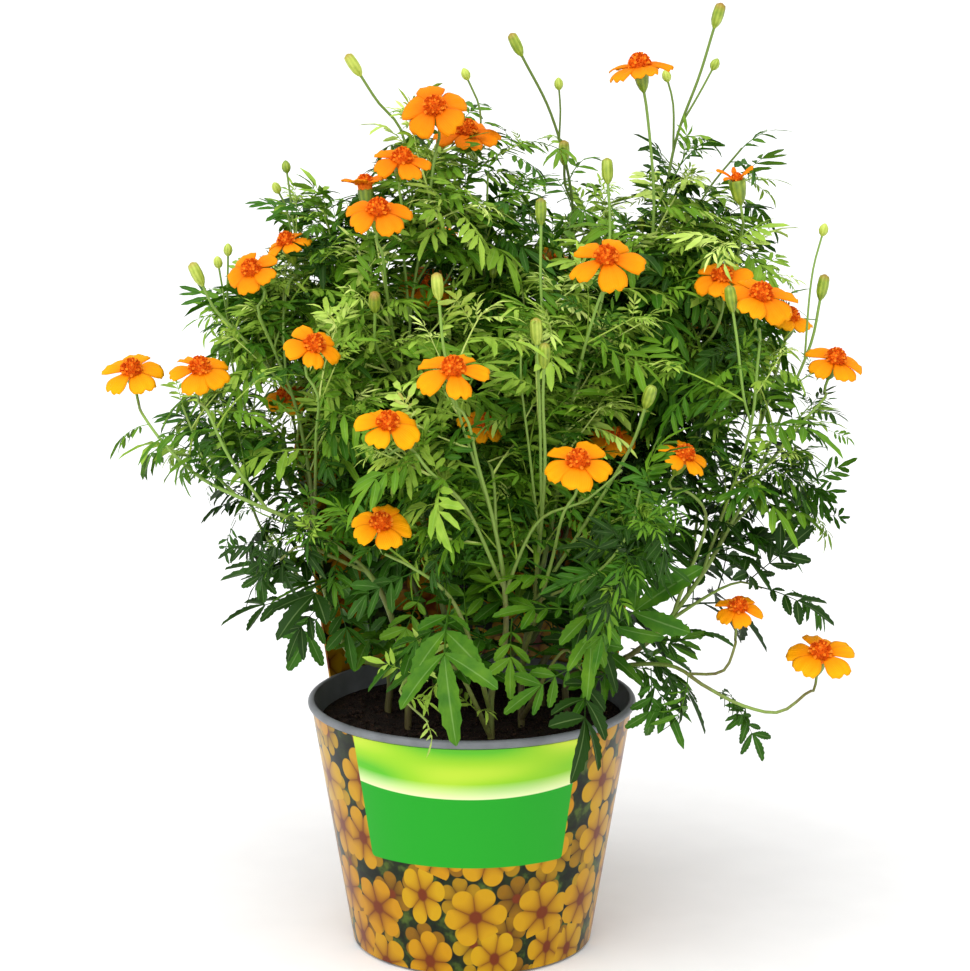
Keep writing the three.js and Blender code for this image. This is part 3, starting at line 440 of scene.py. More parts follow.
def sleeve_radius(angle, z):
    """Inside radius of the sleeve."""
    inner, outer = STEP["span"]
    panel = smoothstep(past_edge(angle), -outer, -inner)
    foot = SLEEVE_TOP - STEP["foot"]
    rise = smoothstep(z, foot, foot + STEP["foot"] - STEP["head"])
    return pot_radius(z) + GAP + STEP["out"] * panel * rise


def panel_top(angle):
    """Height of the panel's top edge, with its rounded shoulders."""
    past = max(0, past_edge(angle))
    crest = SLEEVE["top"] - SLEEVE["arch"] * (1 - past / SLEEVE["edge"]) ** 2
    corner = (1 - min(1, past / SHOULDER_SPAN)) ** 2
    return crest - (crest - SLEEVE["shoulder"]) * corner


rows = SHEET_ROWS + PANEL_ROWS
sleeve = grid("printed_sleeve", SHEET_COLUMNS, rows)
neck_share = SHEET_ROWS / rows - 0.5


def is_cut_away(face):
    """Above the bead, only the panel is left of the sheet."""
    return face.center.y > neck_share and past_edge(360 * face.center.x) < 0


with editing(sleeve, "polygons", is_cut_away):
    bpy.ops.mesh.delete(type="FACE")

sheet_places = {}
for vertex in sleeve.data.vertices:
    angle = 360 * vertex.co.x
    share = (vertex.co.y - neck_share) / (0.5 - neck_share)
    if share <= 1e-6:
        below = share * (0.5 - neck_share) / (0.5 + neck_share)
        z = SLEEVE_TOP + (SLEEVE_TOP - SLEEVE["bottom"]) * below
    else:
        z = SLEEVE_TOP + (panel_top(angle) - SLEEVE_TOP) * share
    sheet_places[vertex.index] = (angle, z)
    radius = sleeve_radius(angle, z) + SLEEVE["thickness"]
    turn = math.radians(angle)
    vertex.co = Vector((radius * math.sin(turn), -radius * math.cos(turn), z)) * MM
for loop in sleeve.data.loops:
    angle, z = sheet_places[loop.vertex_index]
    sleeve.data.uv_layers[0].data[loop.index].uv = (angle / 360 + 0.5, z / SHEET_HEIGHT)
with editing(sleeve):
    bpy.ops.mesh.remove_doubles(threshold=0.01 * MM)
apply_modifier(sleeve, "SOLIDIFY", thickness=SLEEVE["thickness"] * MM, offset=-1)
smooth(sleeve)
highest = max(z for _, z in sheet_places.values())
print("sleeve:", len(sleeve.data.polygons), "faces, top at", round(highest), "mm")

# %% [markdown]
# The film is printed with yellow and orange blossoms on dark leaves, and has a bare green label
# at the front. The print is worked out from the flat sheet's own millimetres. A Voronoi texture
# scatters the hearts of the blossoms, and the angle round each heart gives its petals. Two
# layers of that group, a small one behind a large one, make a full bed of flowers.

# %% Blossom print
blossoms, given, out = new_group(
    "printed_blossoms",
    {"Sheet": ("Vector", None), "Spacing": ("Float", 20), "Radius": ("Float", 10), "Petals": ("Float", 8)},
    {"Blossom": "Float", "Heart": "Float", "Ray": "Float", "Chance": "Float"},
)
maths = partial(calculated, blossoms)
per_spacing = maths("DIVIDE", 1, given["Spacing"])
scattered = node(
    blossoms,
    "TexVoronoi",
    {"Vector": given["Sheet"], "Scale": per_spacing, "Randomness": 0.5},
    voronoi_dimensions="2D",
).outputs
from_heart = {0: given["Sheet"], 1: scattered["Position"]}
local = node(blossoms, "VectorMath", from_heart, operation="SUBTRACT").outputs[0]
axes = node(blossoms, "SeparateXYZ", {0: local}).outputs
chance = node(blossoms, "SeparateColor", {0: scattered["Color"]}).outputs
flat_x = maths("MULTIPLY", axes["X"], maths("MULTIPLY_ADD", chance[1], 0.5, 0.9))
reach = length_of(blossoms, flat_x, axes["Y"])
bearing = maths("MULTIPLY_ADD", chance[0], math.tau, maths("ARCTAN2", axes["Y"], flat_x))
half_turns = maths("MULTIPLY", bearing, maths("DIVIDE", given["Petals"], 2))
lobe = maths("POWER", maths("ABSOLUTE", maths("COSINE", half_turns)), 0.4)
edge = maths("MULTIPLY", given["Radius"], maths("MULTIPLY_ADD", lobe, 0.48, 0.5))
inside = maths("MULTIPLY", maths("SUBTRACT", edge, reach), 2.5, clamp=True)
heart = maths("SUBTRACT", maths("MULTIPLY", given["Radius"], 0.2), reach)
results = {
    "Blossom": inside,
    "Heart": maths("MULTIPLY_ADD", heart, 1.2, 0.5, clamp=True),
    "Ray": maths("MULTIPLY", lobe, maths("DIVIDE", reach, given["Radius"])),
    "Chance": chance[2],
}
for socket, value in results.items():
    blossoms.links.new(value, out[socket])
print("print group:", len(blossoms.nodes), "nodes")

# %% [markdown]
# On the film the blossoms lie over a dark, leafy ground. The label is worked out from the
# distance to its edges: a green field below, a pale curved line, and a band like a clouded sky
# above it.

# %% Printed film
LABEL = {"middle": -2.2, "half_width": 37.5, "bottom": 43, "border": 69.5, "corner": 1.5}
BAND_WIDTH = 3
LABEL_TAPER = 0.035  # how much wider it grows for each millimetre up
HALF_HEIGHT_RADIUS = 52  # of the sleeve, half way up the pot
SHEET_SIZE = (2 * math.pi * HALF_HEIGHT_RADIUS, SHEET_HEIGHT)
# spacing, radius, petals, shift, and three colours from the heart outwards
BLOSSOM_LAYERS = (
    (17, 9.2, 6, 40, "#4c2603", "#6c4804", "#825807"),
    (22, 12.4, 6, 0, "#6c3004", "#9a6203", "#bc8307"),
)

film, tree, shader = new_material(
    "printed_film", Roughness=0.3, Specular_IOR_Level=0.12, Coat_Weight=0.16, Coat_Roughness=0.08
)
maths = partial(calculated, tree)
uv = node(tree, "TexCoord", {}).outputs["UV"]
to_sheet = {"Vector": uv, "Location": (-SHEET_SIZE[0] / 2, 0, 0), "Scale": (*SHEET_SIZE, 1)}
sheet = node(tree, "Mapping", to_sheet).outputs[0]
sheet_x, sheet_y, _ = node(tree, "SeparateXYZ", {0: sheet}).outputs

leafy = node(tree, "TexNoise", {"Vector": sheet, "Scale": 0.16, "Detail": 3}).outputs["Fac"]
design = graded(tree, leafy, (0.4, "#0c1206"), (0.55, "#1c280c"), (0.68, "#465a1c"))
for spacing, radius, petals, shift, inner, middle, outer in BLOSSOM_LAYERS:
    moved = node(tree, "VectorMath", {0: sheet, 1: (shift, shift, 0)}, operation="ADD").outputs[0]
    values = {"Sheet": moved, "Spacing": spacing, "Radius": radius, "Petals": petals}
    flowers = placed_group(tree, blossoms, values)
    petal_colour = graded(tree, flowers["Ray"], (0.1, inner), (0.32, middle), (0.62, outer))
    yellower = maths("MULTIPLY", maths("POWER", flowers["Chance"], 2), 0.7)
    towards_tip = maths("MULTIPLY", flowers["Ray"], 1.6, clamp=True)
    yellowed = mixed(tree, towards_tip, petal_colour, linear("#c09a0c"))
    petal_colour = mixed(tree, yellower, petal_colour, yellowed)
    flower_colour = mixed(tree, flowers["Heart"], petal_colour, linear("#6c2c0a"))
    design = mixed(tree, flowers["Blossom"], design, flower_colour)

label_top = POT["height"] + LABEL["corner"]
label_middle = (LABEL["bottom"] + label_top) / 2
label_half = (label_top - LABEL["bottom"]) / 2
from_middle = maths("ABSOLUTE", maths("SUBTRACT", sheet_x, LABEL["middle"]))
widening = maths("SUBTRACT", sheet_y, LABEL["bottom"])
from_middle = maths("MULTIPLY_ADD", widening, -LABEL_TAPER, from_middle)
over_x = maths("SUBTRACT", from_middle, LABEL["half_width"] - LABEL["corner"])
over_y = maths("ABSOLUTE", maths("SUBTRACT", sheet_y, label_middle))
over_y = maths("SUBTRACT", over_y, label_half - LABEL["corner"])
corner_reach = length_of(tree, maths("MAXIMUM", over_x, 0), maths("MAXIMUM", over_y, 0))
on_label = maths("MULTIPLY", maths("SUBTRACT", LABEL["corner"], corner_reach), 4, clamp=True)

stretched = node(tree, "Mapping", {"Vector": sheet, "Scale": (0.022, 0.06, 1)}).outputs[0]
swirl = node(tree, "TexNoise", {"Vector": stretched, "Scale": 1, "Detail": 0}).outputs["Fac"]
sky = graded(tree, swirl, (0.36, "#5cb828"), (0.5, "#98cc28"), (0.62, "#c6dc40"))
bow = maths("MULTIPLY_ADD", maths("MULTIPLY", from_middle, from_middle), 0.0016, LABEL["border"])
over_bow = maths("SUBTRACT", sheet_y, bow)
above = maths("DIVIDE", over_bow, 0.25, clamp=True)
glow = maths("DIVIDE", over_bow, BAND_WIDTH * 2, clamp=True)
pale = mixed(tree, glow, linear("#e6efb4"), sky)
label_colour = mixed(tree, above, linear("#1c9c20"), pale)
feed(tree, shader, mixed(tree, on_label, design, label_colour))
bump(tree, shader, mottled(tree, 26), 0.25, 1.2)
dress(sleeve, film)
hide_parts("sleeve")
print("print: label", LABEL["half_width"] * 2, "mm wide on a sheet", round(SHEET_SIZE[0]), "mm round")

# %% [markdown]
# ## The compost
#
# Potting compost is a fine dark crumb with a few larger pieces lying on it. A closed cylinder
# fills the pot. Its top is inset ring by ring, so that it has enough faces for a Displace
# modifier to lift into lumps, and loose crumbs are scattered over it by a seeded rule.

# %% Compost
SOIL_TOP = 84
SOIL_SIDES = 72
SOIL_RINGS = 22
RINGS_REACH = 0.93  # how far in the rings go, by the radius
LUMPS = {"across": 5, "high": 3.2}
EDGE = 1  # the flat edge where the compost meets the pot
CRUMBS = 900
CRUMB = {"jagged": 0.3, "size": 2.6, "flat": 0.7}


def soil_radius(z):
    """Radius of the pot's inside, less the gap that touching pieces keep."""
    return pot_radius(z) - POT["wall"] - GAP


soil_bottom = POT["floor"] + GAP
soil = cylinder("compost", SOIL_SIDES, soil_radius(soil_bottom), soil_bottom, SOIL_TOP)
widen = soil_radius(SOIL_TOP) / soil_radius(soil_bottom)
scale_part(soil, lambda at: at.z > SOIL_TOP - EDGE, (widen, widen, 1))
with editing(soil, "polygons", faces_up):
    for _ in range(SOIL_RINGS):
        bpy.ops.mesh.inset(thickness=RINGS_REACH * soil_radius(SOIL_TOP) / SOIL_RINGS * MM)
lumps = bpy.data.textures.new("compost_lumps", "CLOUDS")
lumps.noise_scale = LUMPS["across"] * MM
top = soil.vertex_groups.new(name="top")
inner = soil_radius(SOIL_TOP) - EDGE
for vertex in soil.data.vertices:
    if vertex.co.z > (SOIL_TOP - EDGE) * MM and vertex.co.xy.length < inner * MM:
        top.add([vertex.index], 1, "REPLACE")
lift = {"texture": lumps, "strength": LUMPS["high"] * MM, "mid_level": 0.5, "direction": "Z"}
apply_modifier(soil, "DISPLACE", vertex_group="top", **lift)
smooth(soil, 60)

crumb = started("crumb", bpy.ops.mesh.primitive_ico_sphere_add, subdivisions=1, radius=1 * MM)
with editing(crumb):
    bpy.ops.transform.vertex_random(offset=CRUMB["jagged"] * MM, seed=4)
crumb_draws = random.Random(5)
crumbs = []
for _ in range(CRUMBS):
    away = (inner - 1) * math.sqrt(crumb_draws.random())
    turn = crumb_draws.uniform(0, math.tau)
    size = crumb_draws.uniform(0.35, 0.8) ** 2 * CRUMB["size"]
    spin = Matrix.Rotation(crumb_draws.uniform(0, math.tau), 4, (1, turn, away))
    z = SOIL_TOP + crumb_draws.uniform(-0.4, 0.9)
    at = Matrix.Translation((away * math.sin(turn), away * math.cos(turn), z))
    stretch = Matrix.Diagonal((size, size * crumb_draws.uniform(0.6, 1), size * CRUMB["flat"], 1))
    crumbs.append(stamp(crumb, at @ spin @ stretch))
crumbs = joined("compost_crumbs", crumbs)
discard(crumb)
print("compost:", len(soil.data.polygons), "faces and", CRUMBS, "crumbs")

# %% Compost finish
earth, tree, shader = new_material("dark_compost", Roughness=0.95, Specular_IOR_Level=0.25)
coarse = mottled(tree, 2.5)
fine = mottled(tree, 0.7)
speck = calculated(tree, "MULTIPLY_ADD", fine, 0.6, calculated(tree, "MULTIPLY", coarse, 0.4))
earth_colour = graded(tree, speck, (0.38, "#0d0805"), (0.52, "#241710"), (0.62, "#3c291c"), (0.72, "#6a4d36"))
feed(tree, shader, earth_colour)
bump(tree, shader, fine, 0.9, 0.6)
dress(soil, earth)
dress(crumbs, earth)
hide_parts("soil")
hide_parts("soil")

# %% [markdown]
# ## Where the flowers and stems are
#
# The solids' source lists each flower and each stem by the places that the camera sees, and how
# far in front of the pot's axis they stand. The lists are repeated here, because the finer
# pieces have to lie exactly where the solids do.


# %% Survey of the flowers
class Bloom(NamedTuple):
    """A flower, in dots and millimetres, with its angles in degrees."""

    at: tuple  # how far right and down the camera sees it, and how far in front of the axis it is
    lean: tuple  # to the right, and towards the viewer
    reach: float  # of its petals from the middle
    turn: float
    cup: float = 0  # how far its petals stand up


BLOOMS = {
    "bloom_01": ((640, 67, -4), (-10, 6), 12.6, 10),
    "bloom_02": ((435, 108, 2), (-8, 48), 12.4, 40),
    "bloom_03": ((466, 132, -22), (8, 28), 12.2, 5),
    "bloom_04": ((402, 160, 18), (6, 30), 10.8, 20),
    "bloom_05": ((365, 186, 4), (-4, -4), 8.4, 60, 30),
    "bloom_06": ((378, 211, 34), (4, 34), 11.8, 30),
    "bloom_07": ((287, 243, -4), (-16, 26), 8.8, 15),
    "bloom_08": ((252, 270, 22), (-22, 46), 9.6, 50),
    "bloom_09": ((427, 284, -24), (6, 48), 11.4, 0),
    "bloom_10": ((606, 259, 48), (0, 36), 13.2, 12),
    "bloom_11": ((722, 277, 14), (-6, 38), 10.6, 70),
    "bloom_12": ((761, 296, 34), (6, 32), 13, 45),
    "bloom_13": ((835, 360, 18), (12, 34), 10.6, 25),
    "bloom_14": ((314, 346, 50), (20, 44), 10.6, 8),
    "bloom_15": ((132, 371, 14), (-4, 34), 11.6, 30),
    "bloom_16": ((200, 369, 34), (8, 34), 11.4, 65),
    "bloom_17": ((287, 396, -22), (-10, 30), 9.4, 20),
    "bloom_18": ((453, 370, 80), (2, 36), 12.8, 18),
    "bloom_19": ((388, 424, 84), (4, 38), 11.2, 50),
    "bloom_20": ((578, 462, 84), (0, 38), 11.6, 0),
    "bloom_21": ((684, 456, 44), (22, 30), 9.6, 35),
    "bloom_22": ((381, 524, 82), (4, 42), 10.8, 28),
    "bloom_23": ((738, 608, 48), (0, 32), 8.8, 10),
    "bloom_24": ((820, 654, 44), (4, 20), 12.6, 40),
    "bloom_25": ((612, 438, 2), (4, 30), 9.4, 15),
    "bloom_26": ((737, 180, 6), (-10, 10), 8.2, 35, 42),
    "bloom_27": ((482, 424, 22), (10, 30), 9, 55),
    "bloom_28": ((700, 320, -48), (4, 20), 9, 25),
    "bloom_29": ((790, 318, -22), (8, 20), 9, 45),
    "bloom_30": ((350, 296, -84), (-8, -34), 12, 15),
    "bloom_31": ((432, 232, -78), (-4, -30), 11.6, 50),
    "bloom_32": ((556, 262, -88), (4, -34), 12.4, 30),
    "bloom_33": ((640, 330, -86), (12, -36), 11.4, 5),
}
BLOOMS = {name: Bloom(*values) for name, values in BLOOMS.items()}
print(len(BLOOMS), "flowers surveyed")

# %% [markdown]
# Each leafy stem stands in the compost at a root. Its first shoot is the main stem, and every
# other one leaves an earlier shoot, numbered in its source, at a share of that one's length.


# %% Survey of the stems
class Shoot(NamedTuple):
    """A shoot with what its tip carries, its source and the places that it runs through."""

    tip: str
    source: tuple | None
    path: list
    leaves: str | None = None  # their kind, where it isn't the one that grows at their height
    low: bool = False  # whether its leaves may hang in front of the rim


STEMS = {
    "leafy_stem_left_outer": ((-23, -15), [
        Shoot("bloom_15", None, [
            (404, 662, 18), (373, 579, 24), (306, 527, 30), (250, 502, 32), (201, 478, 28),
            (166, 446, 24), (143, 415, 18),
        ]),
        Shoot("bloom_16", (0, 0.6), [(228, 455, 36), (207, 410, 38)]),
        Shoot("leaf", (0, 0.38), [(300, 546, 40), (280, 560, 44)], leaves="fine"),
        Shoot("leaf", (0, 0.8), [(190, 455, 14), (172, 450, 8)]),
        Shoot("leaf", (0, 0.66), [(205, 462, 16), (190, 425, 8), (182, 405, 4)]),
    ]),
    "leafy_stem_left": ((-31, 5), [
        Shoot("bloom_08", None, [
            (352, 655, -2), (327, 598, 2), (316, 529, 4), (308, 465, 4), (294, 400, 4),
            (272, 345, 8), (258, 305, 14),
        ]),
        Shoot("bloom_07", (0, 0.78), [(284, 310, 0), (290, 280, -4)]),
        Shoot("bloom_14", (0, 0.5), [(316, 440, 26), (317, 392, 42)]),
        Shoot("bloom_17", (0, 0.55), [(296, 440, -14)]),
        Shoot("bud", (0, 0.74), [(240, 335, 0), (214, 308, 0), (203, 286, 0)]),
        Shoot("small bud", (0, 0.48), [
            (262, 440, -8), (238, 390, -12), (228, 320, -12), (228, 256, -10),
        ]),
        Shoot("small bud", (0, 0.84), [(296, 270, -22), (292, 210, -22), (287, 173, -22)]),
        Shoot("leaf", (0, 0.3), [(285, 560, -18), (262, 530, -24), (238, 470, -26), (215, 440, -26)]),
    ]),
    "leafy_stem_centre_left": ((-10, 8), [
        Shoot("bloom_06", None, [
            (450, 650, -8), (432, 560, -4), (414, 470, 0), (400, 380, 4), (388, 300, 14),
            (380, 245, 28),
        ]),
        Shoot("bloom_02", (0, 0.6), [(412, 300, 0), (426, 220, -2), (436, 150, -2)]),
        Shoot("bloom_03", (1, 0.42), [(455, 210, -20)]),
        Shoot("bloom_04", (1, 0.3), [(402, 235, 4), (401, 196, 12)]),
        Shoot("bloom_05", (0, 0.68), [(374, 290, 0), (368, 240, 2)]),
        Shoot("bud", (1, 0.5), [(408, 160, -20), (399, 126, -22), (378, 102, -20), (361, 76, -18)]),
        Shoot("bloom_09", (0, 0.5), [(420, 340, -18)]),
        Shoot("bud", (0, 0.66), [(376, 345, 28), (375, 312, 38)]),
        Shoot("small bud", (2, 0.5), [(476, 160, -34), (480, 110, -34), (468, 80, -34)]),
        Shoot("leaf", (0, 0.52), [(365, 350, -18), (342, 280, -26), (326, 215, -28)]),
        Shoot("leaf", (0, 0.42), [(458, 400, -14), (482, 300, -18), (486, 230, -14), (488, 172, -12)]),
    ]),
    "leafy_stem_front": ((7, -29), [
        Shoot("bloom_18", None, [
            (505, 640, 36), (503, 575, 50), (493, 520, 58), (478, 465, 66), (465, 415, 74),
        ]),
        Shoot("bloom_19", (0, 0.46), [(462, 502, 72), (428, 470, 80), (408, 446, 84)]),
        Shoot("bloom_22", (0, 0.12), [(452, 600, 56), (408, 565, 74)]),
        Shoot("bud", (0, 0.66), [(458, 410, 56), (444, 350, 54), (439, 300, 52)]),
        Shoot("bloom_27", (0, 0.6), [(492, 470, 40)]),
        Shoot("leaf", (0, 0.06), [
            (450, 664, 44), (415, 672, 58), (400, 692, 66), (428, 722, 74),
        ], leaves="young", low=True),
    ]),
    "leafy_stem_centre_right": ((18, -12), [
        Shoot("bloom_10", None, [
            (526, 640, 14), (542, 570, 20), (556, 500, 26), (566, 430, 30), (584, 350, 38),
            (602, 292, 44),
        ]),
        Shoot("bloom_20", (0, 0.2), [(552, 560, 48), (565, 510, 70)]),
        Shoot("bud", (0, 0.56), [(548, 370, 24), (541, 290, 22), (541, 225, 20)]),
        Shoot("bud", (0, 0.3), [(545, 464, 54), (543, 400, 62), (544, 368, 66)]),
        Shoot("bud", (0, 0.3), [(600, 500, 48), (634, 440, 66), (645, 408, 72)]),
        Shoot("bloom_25", (0, 0.42), [(592, 470, 10)]),
        Shoot("bud", (0, 0.68), [(604, 290, 14), (610, 230, 4), (608, 184, 0)]),
        Shoot("leaf", (0, 0.06), [(566, 650, 44), (582, 672, 60)], low=True),
    ]),
    "leafy_stem_right_top": ((26, 14), [
        Shoot("bloom_01", None, [
            (572, 630, -18), (604, 540, -20), (624, 450, -20), (638, 360, -18), (648, 280, -14),
            (654, 204, -8),
        ]),
        Shoot("bud", (0, 0.6), [(660, 230, -26), (676, 140, -30), (700, 74, -28), (714, 28, -26)]),
        Shoot("bloom_26", (0, 0.44), [(690, 350, -16), (728, 290, -16), (742, 230, -4)]),
        Shoot("bloom_11", (2, 0.36), [(716, 330, 6)]),
        Shoot("leaf", (0, 0.62), [(683, 236, -42), (708, 190, -46), (742, 148, -46)]),
        Shoot("bloom_28", (0, 0.46), [(678, 370, -38)]),
    ]),
    "leafy_stem_right": ((35, -4), [
        Shoot("bloom_13", None, [
            (606, 668, 10), (650, 640, 14), (703, 573, 18), (738, 512, 20), (768, 465, 20),
            (800, 425, 20), (826, 396, 18),
        ]),
        Shoot("bloom_24", (0, 0.2), [
            (675, 667, 36), (703, 685, 44), (744, 706, 48), (780, 712, 48), (808, 692, 46),
        ], leaves="fine", low=True),
        Shoot("bloom_23", (1, 0.42), [(724, 671, 48), (735, 645, 50)]),
        Shoot("leaf", (0, 0.38), [(740, 582, 26), (762, 588, 30)]),
        Shoot("bloom_12", (0, 0.5), [(750, 430, 26), (757, 370, 30), (760, 330, 32)]),
        Shoot("bloom_21", (0, 0.4), [(706, 515, 32), (684, 490, 40)]),
        Shoot("bud", (0, 0.68), [(792, 390, 8), (812, 340, 4), (820, 300, 4)]),
        Shoot("bloom_29", (0, 0.56), [(762, 420, -4), (780, 360, -18)]),
        Shoot("leaf", (0, 0.6), [(790, 470, 4), (802, 480, -2)]),
    ]),
    "leafy_stem_back_left": ((-14, 28), [
        Shoot("bloom_30", None, [
            (434, 640, -34), (406, 560, -42), (386, 480, -44), (372, 400, -52), (356, 335, -74),
        ]),
        Shoot("bloom_31", (0, 0.42), [(412, 420, -56), (428, 340, -66), (432, 270, -72)]),
        Shoot("leaf", (0, 0.74), [(330, 376, -62), (300, 346, -68), (272, 316, -68)]),
    ]),
    "leafy_stem_back_right": ((15, 29), [
        Shoot("bloom_33", None, [
            (532, 640, -34), (558, 560, -40), (580, 480, -42), (602, 392, -50), (622, 356, -68),
        ]),
        Shoot("bloom_32", (0, 0.46), [(568, 430, -50), (560, 350, -70), (556, 300, -82)]),
        Shoot("bud", (1, 0.3), [(566, 300, -62), (572, 200, -54), (551, 114, -50), (522, 56, -48)]),
        Shoot("leaf", (0, 0.74), [(652, 372, -62), (692, 350, -68), (722, 330, -68)]),
    ]),
}

# Thin stalks and leafy side shoots that the solids leave out.
FINE_SHOOTS = {
    "leafy_stem_left": [
        Shoot("small bud", (6, 0.6), [(285, 205, -22), (279, 193, -20)]),
        Shoot("small bud", (5, 0.78), [(222, 285, -8), (219, 268, -6)]),
    ],
    "leafy_stem_centre_left": [
        Shoot("small bud", (10, 0.6), [(490, 300, -10), (493, 278, -8)]),
        Shoot("leaf", (0, 0.45), [(440, 430, -30), (455, 350, -36), (470, 290, -40)]),
        Shoot("leaf", (0, 0.62), [(420, 330, -10), (452, 270, -10), (470, 235, -10)]),
    ],
    "leafy_stem_front": [
        Shoot("leaf", (0, 0.45), [(540, 520, 50), (586, 500, 60), (622, 470, 62)]),
    ],
    "leafy_stem_centre_right": [
        Shoot("bud", (3, 0.4), [(540, 420, 50), (538, 365, 52), (537, 345, 52)]),
        Shoot("small bud", (3, 0.3), [(528, 440, 42), (521, 380, 44), (521, 352, 44)]),
        Shoot("leaf", (0, 0.4), [(530, 430, -10), (520, 350, -16), (512, 280, -20)]),
        Shoot("leaf", (1, 0.3), [(600, 570, 58), (630, 530, 68), (640, 490, 72)]),
    ],
    "leafy_stem_right_top": [
        Shoot("small bud", (1, 0.7), [(700, 93, -27), (712, 70, -26)]),
        Shoot("small bud", (1, 0.62), [(673, 102, -27), (668, 82, -26)]),
        Shoot("small bud", (0, 0.62), [(646, 250, -28), (642, 230, -28)]),
        Shoot("leaf", (0, 0.3), [(640, 440, -40), (660, 360, -50), (672, 300, -54)]),
    ],
    "leafy_stem_right": [
        Shoot("bud", (4, 0.55), [(744, 400, 34), (737, 340, 38), (733, 312, 38)]),
        Shoot("small bud", (6, 0.7), [(813, 270, 2), (822, 236, 2)]),
        Shoot("leaf", (0, 0.45), [(700, 470, -10), (690, 400, -16), (684, 350, -20)]),
    ],
    "leafy_stem_back_right": [
        Shoot("small bud", (2, 0.78), [(560, 110, -50), (559, 90, -50)]),
        Shoot("bud", (2, 0.62), [(564, 185, -52), (564, 165, -51)]),
    ],
}
shoots_of = {name: shoots + FINE_SHOOTS.get(name, []) for name, (_, shoots) in STEMS.items()}
print(sum(map(len, shoots_of.values())), "shoots on", len(STEMS), "stems")

# %% [markdown]
# ## Curves through the surveyed places
#
# A shoot runs smoothly through its surveyed places. The solids use a centripetal Catmull-Rom
# curve, measured along its length, and so does this. Their shoots are built in straight steps,
# though. Where a side shoot leaves its parent, its foot is moved from the straight step onto the
# smooth parent.

# %% Curves
STEP_LENGTH = 27
FOOT_BLEND = 25  # over which a side shoot's foot is moved onto its parent
ROOT_HEIGHTS = (75, 84, 100)  # where a stem stands upright, in the compost and just above it
STALK_END = 15.3  # the stalk turns onto the flower's axis this far below the petals
CALYX_LENGTH = 9


def surveyed(right, down, forward):
    """The place that the camera sees at a dot of the picture, on an upright plane."""
    tilt = math.radians(CAMERA["tilt"])
    across = (right - PICTURE["width"] / 2) / CAMERA["lens"]
    up = (PICTURE["height"] / 2 - down) / CAMERA["lens"]
    ray = (across, math.cos(tilt) + up * math.sin(tilt), up * math.cos(tilt) - math.sin(tilt))
    eye = np.array((CAMERA["aside"], -CAMERA["distance"], CAMERA["height"]))
    return eye + np.array(ray) * (CAMERA["distance"] - forward) / ray[1]


def unit(direction):
    return direction / np.linalg.norm(direction)


def flower_axis(lean):
    """Which way a flower faces, from its lean to the right and towards the viewer."""
    aside, nearer = (math.tan(math.radians(degrees)) for degrees in lean)
    return unit(np.array((aside, -nearer, 1)))


class Course:
    """A smooth curve through places, measured along its length."""

    def __init__(self, places):
        places = np.array(places)
        before, after = 2 * places[0] - places[1], 2 * places[-1] - places[-2]
        self.places = np.vstack([before, places, after])
        self.marks = np.linspace(0, 1, 201)
        along = np.array([self.point(mark) for mark in self.marks])
        self.lengths = np.append(0, np.cumsum(np.linalg.norm(np.diff(along, axis=0), axis=1)))
        self.length = self.lengths[-1]
        self.shift = np.zeros(3)

    def point(self, mark):
        spans = len(self.places) - 3
        span = min(spans - 1, int(mark * spans))
        share = mark * spans - span
        a, b, c, d = self.places[span : span + 4]
        before, between, after = (math.sqrt(np.linalg.norm(q - p)) for p, q in ((a, b), (b, c), (c, d)))
        leave = ((b - a) / before - (c - a) / (before + between) + (c - b) / between) * between
        reach = ((c - b) / between - (d - b) / (between + after) + (d - c) / after) * between
        square = 3 * (c - b) - 2 * leave - reach
        return b + share * (leave + share * (square + share * (2 * (b - c) + leave + reach)))

    def mark(self, share):
        return np.interp(share * self.length, self.lengths, self.marks)

    def at(self, share):
        return self.point(self.mark(share))

    def heading(self, share):
        mark = self.mark(share)
        return unit(self.point(min(1, mark + 1e-4)) - self.point(max(0, mark - 1e-4)))

    def on_solid(self, share):
        """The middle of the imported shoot, whose steps are straight."""
        steps = max(2, math.floor(self.length / STEP_LENGTH + 0.5))
        step = min(steps - 1, math.floor(share * steps))
        start, end = self.at(step / steps), self.at((step + 1) / steps)
        return start + (end - start) * (share * steps - step)

    def smooth(self, share):
        """The middle of the finer shoot."""
        return self.at(share) + self.shift * max(0, 1 - share * self.length / FOOT_BLEND) ** 2


def stem_courses(root, shoots):
    courses = []
    for tip, source, path, _, _ in shoots:
        places = [surveyed(*place) for place in path]
        if source:
            parent, share = courses[source[0]], source[1]
            places.insert(0, parent.on_solid(share))
        else:
            places = [np.array((*root, z), dtype=float) for z in ROOT_HEIGHTS] + places
        if tip in BLOOMS:
            middle, axis = surveyed(*BLOOMS[tip].at), flower_axis(BLOOMS[tip].lean)
            places += [middle - axis * below for below in (STALK_END, CALYX_LENGTH)]
        course = Course(places)
        if source:
            course.shift = parent.smooth(share) - parent.on_solid(share)
        courses.append(course)
    return courses


courses = {name: stem_courses(root, shoots_of[name]) for name, (root, _) in STEMS.items()}
total = sum(course.length for shoots in courses.values() for course in shoots)
print("shoots:", round(total / 1000, 1), "m in all")

# %% [markdown]
# ## The stems
#
# A stem is round, thickest at its root, and thinner after every fork. A Blender curve with a
# round bevel makes that directly: one spline for each shoot, with a radius at each point. The
# curve is then converted to a mesh.

# %% Stems
MAIN_RADIUS = 1.45
SIDE_RADIUS = 1.2  # the most that a side shoot starts with
STALK_RADIUS = 0.52
THIN_STALK = 0.75  # of a leafy tip or a small bud, beside a flower's
FORK_SHARE = 0.8
POINT_STEP = 4


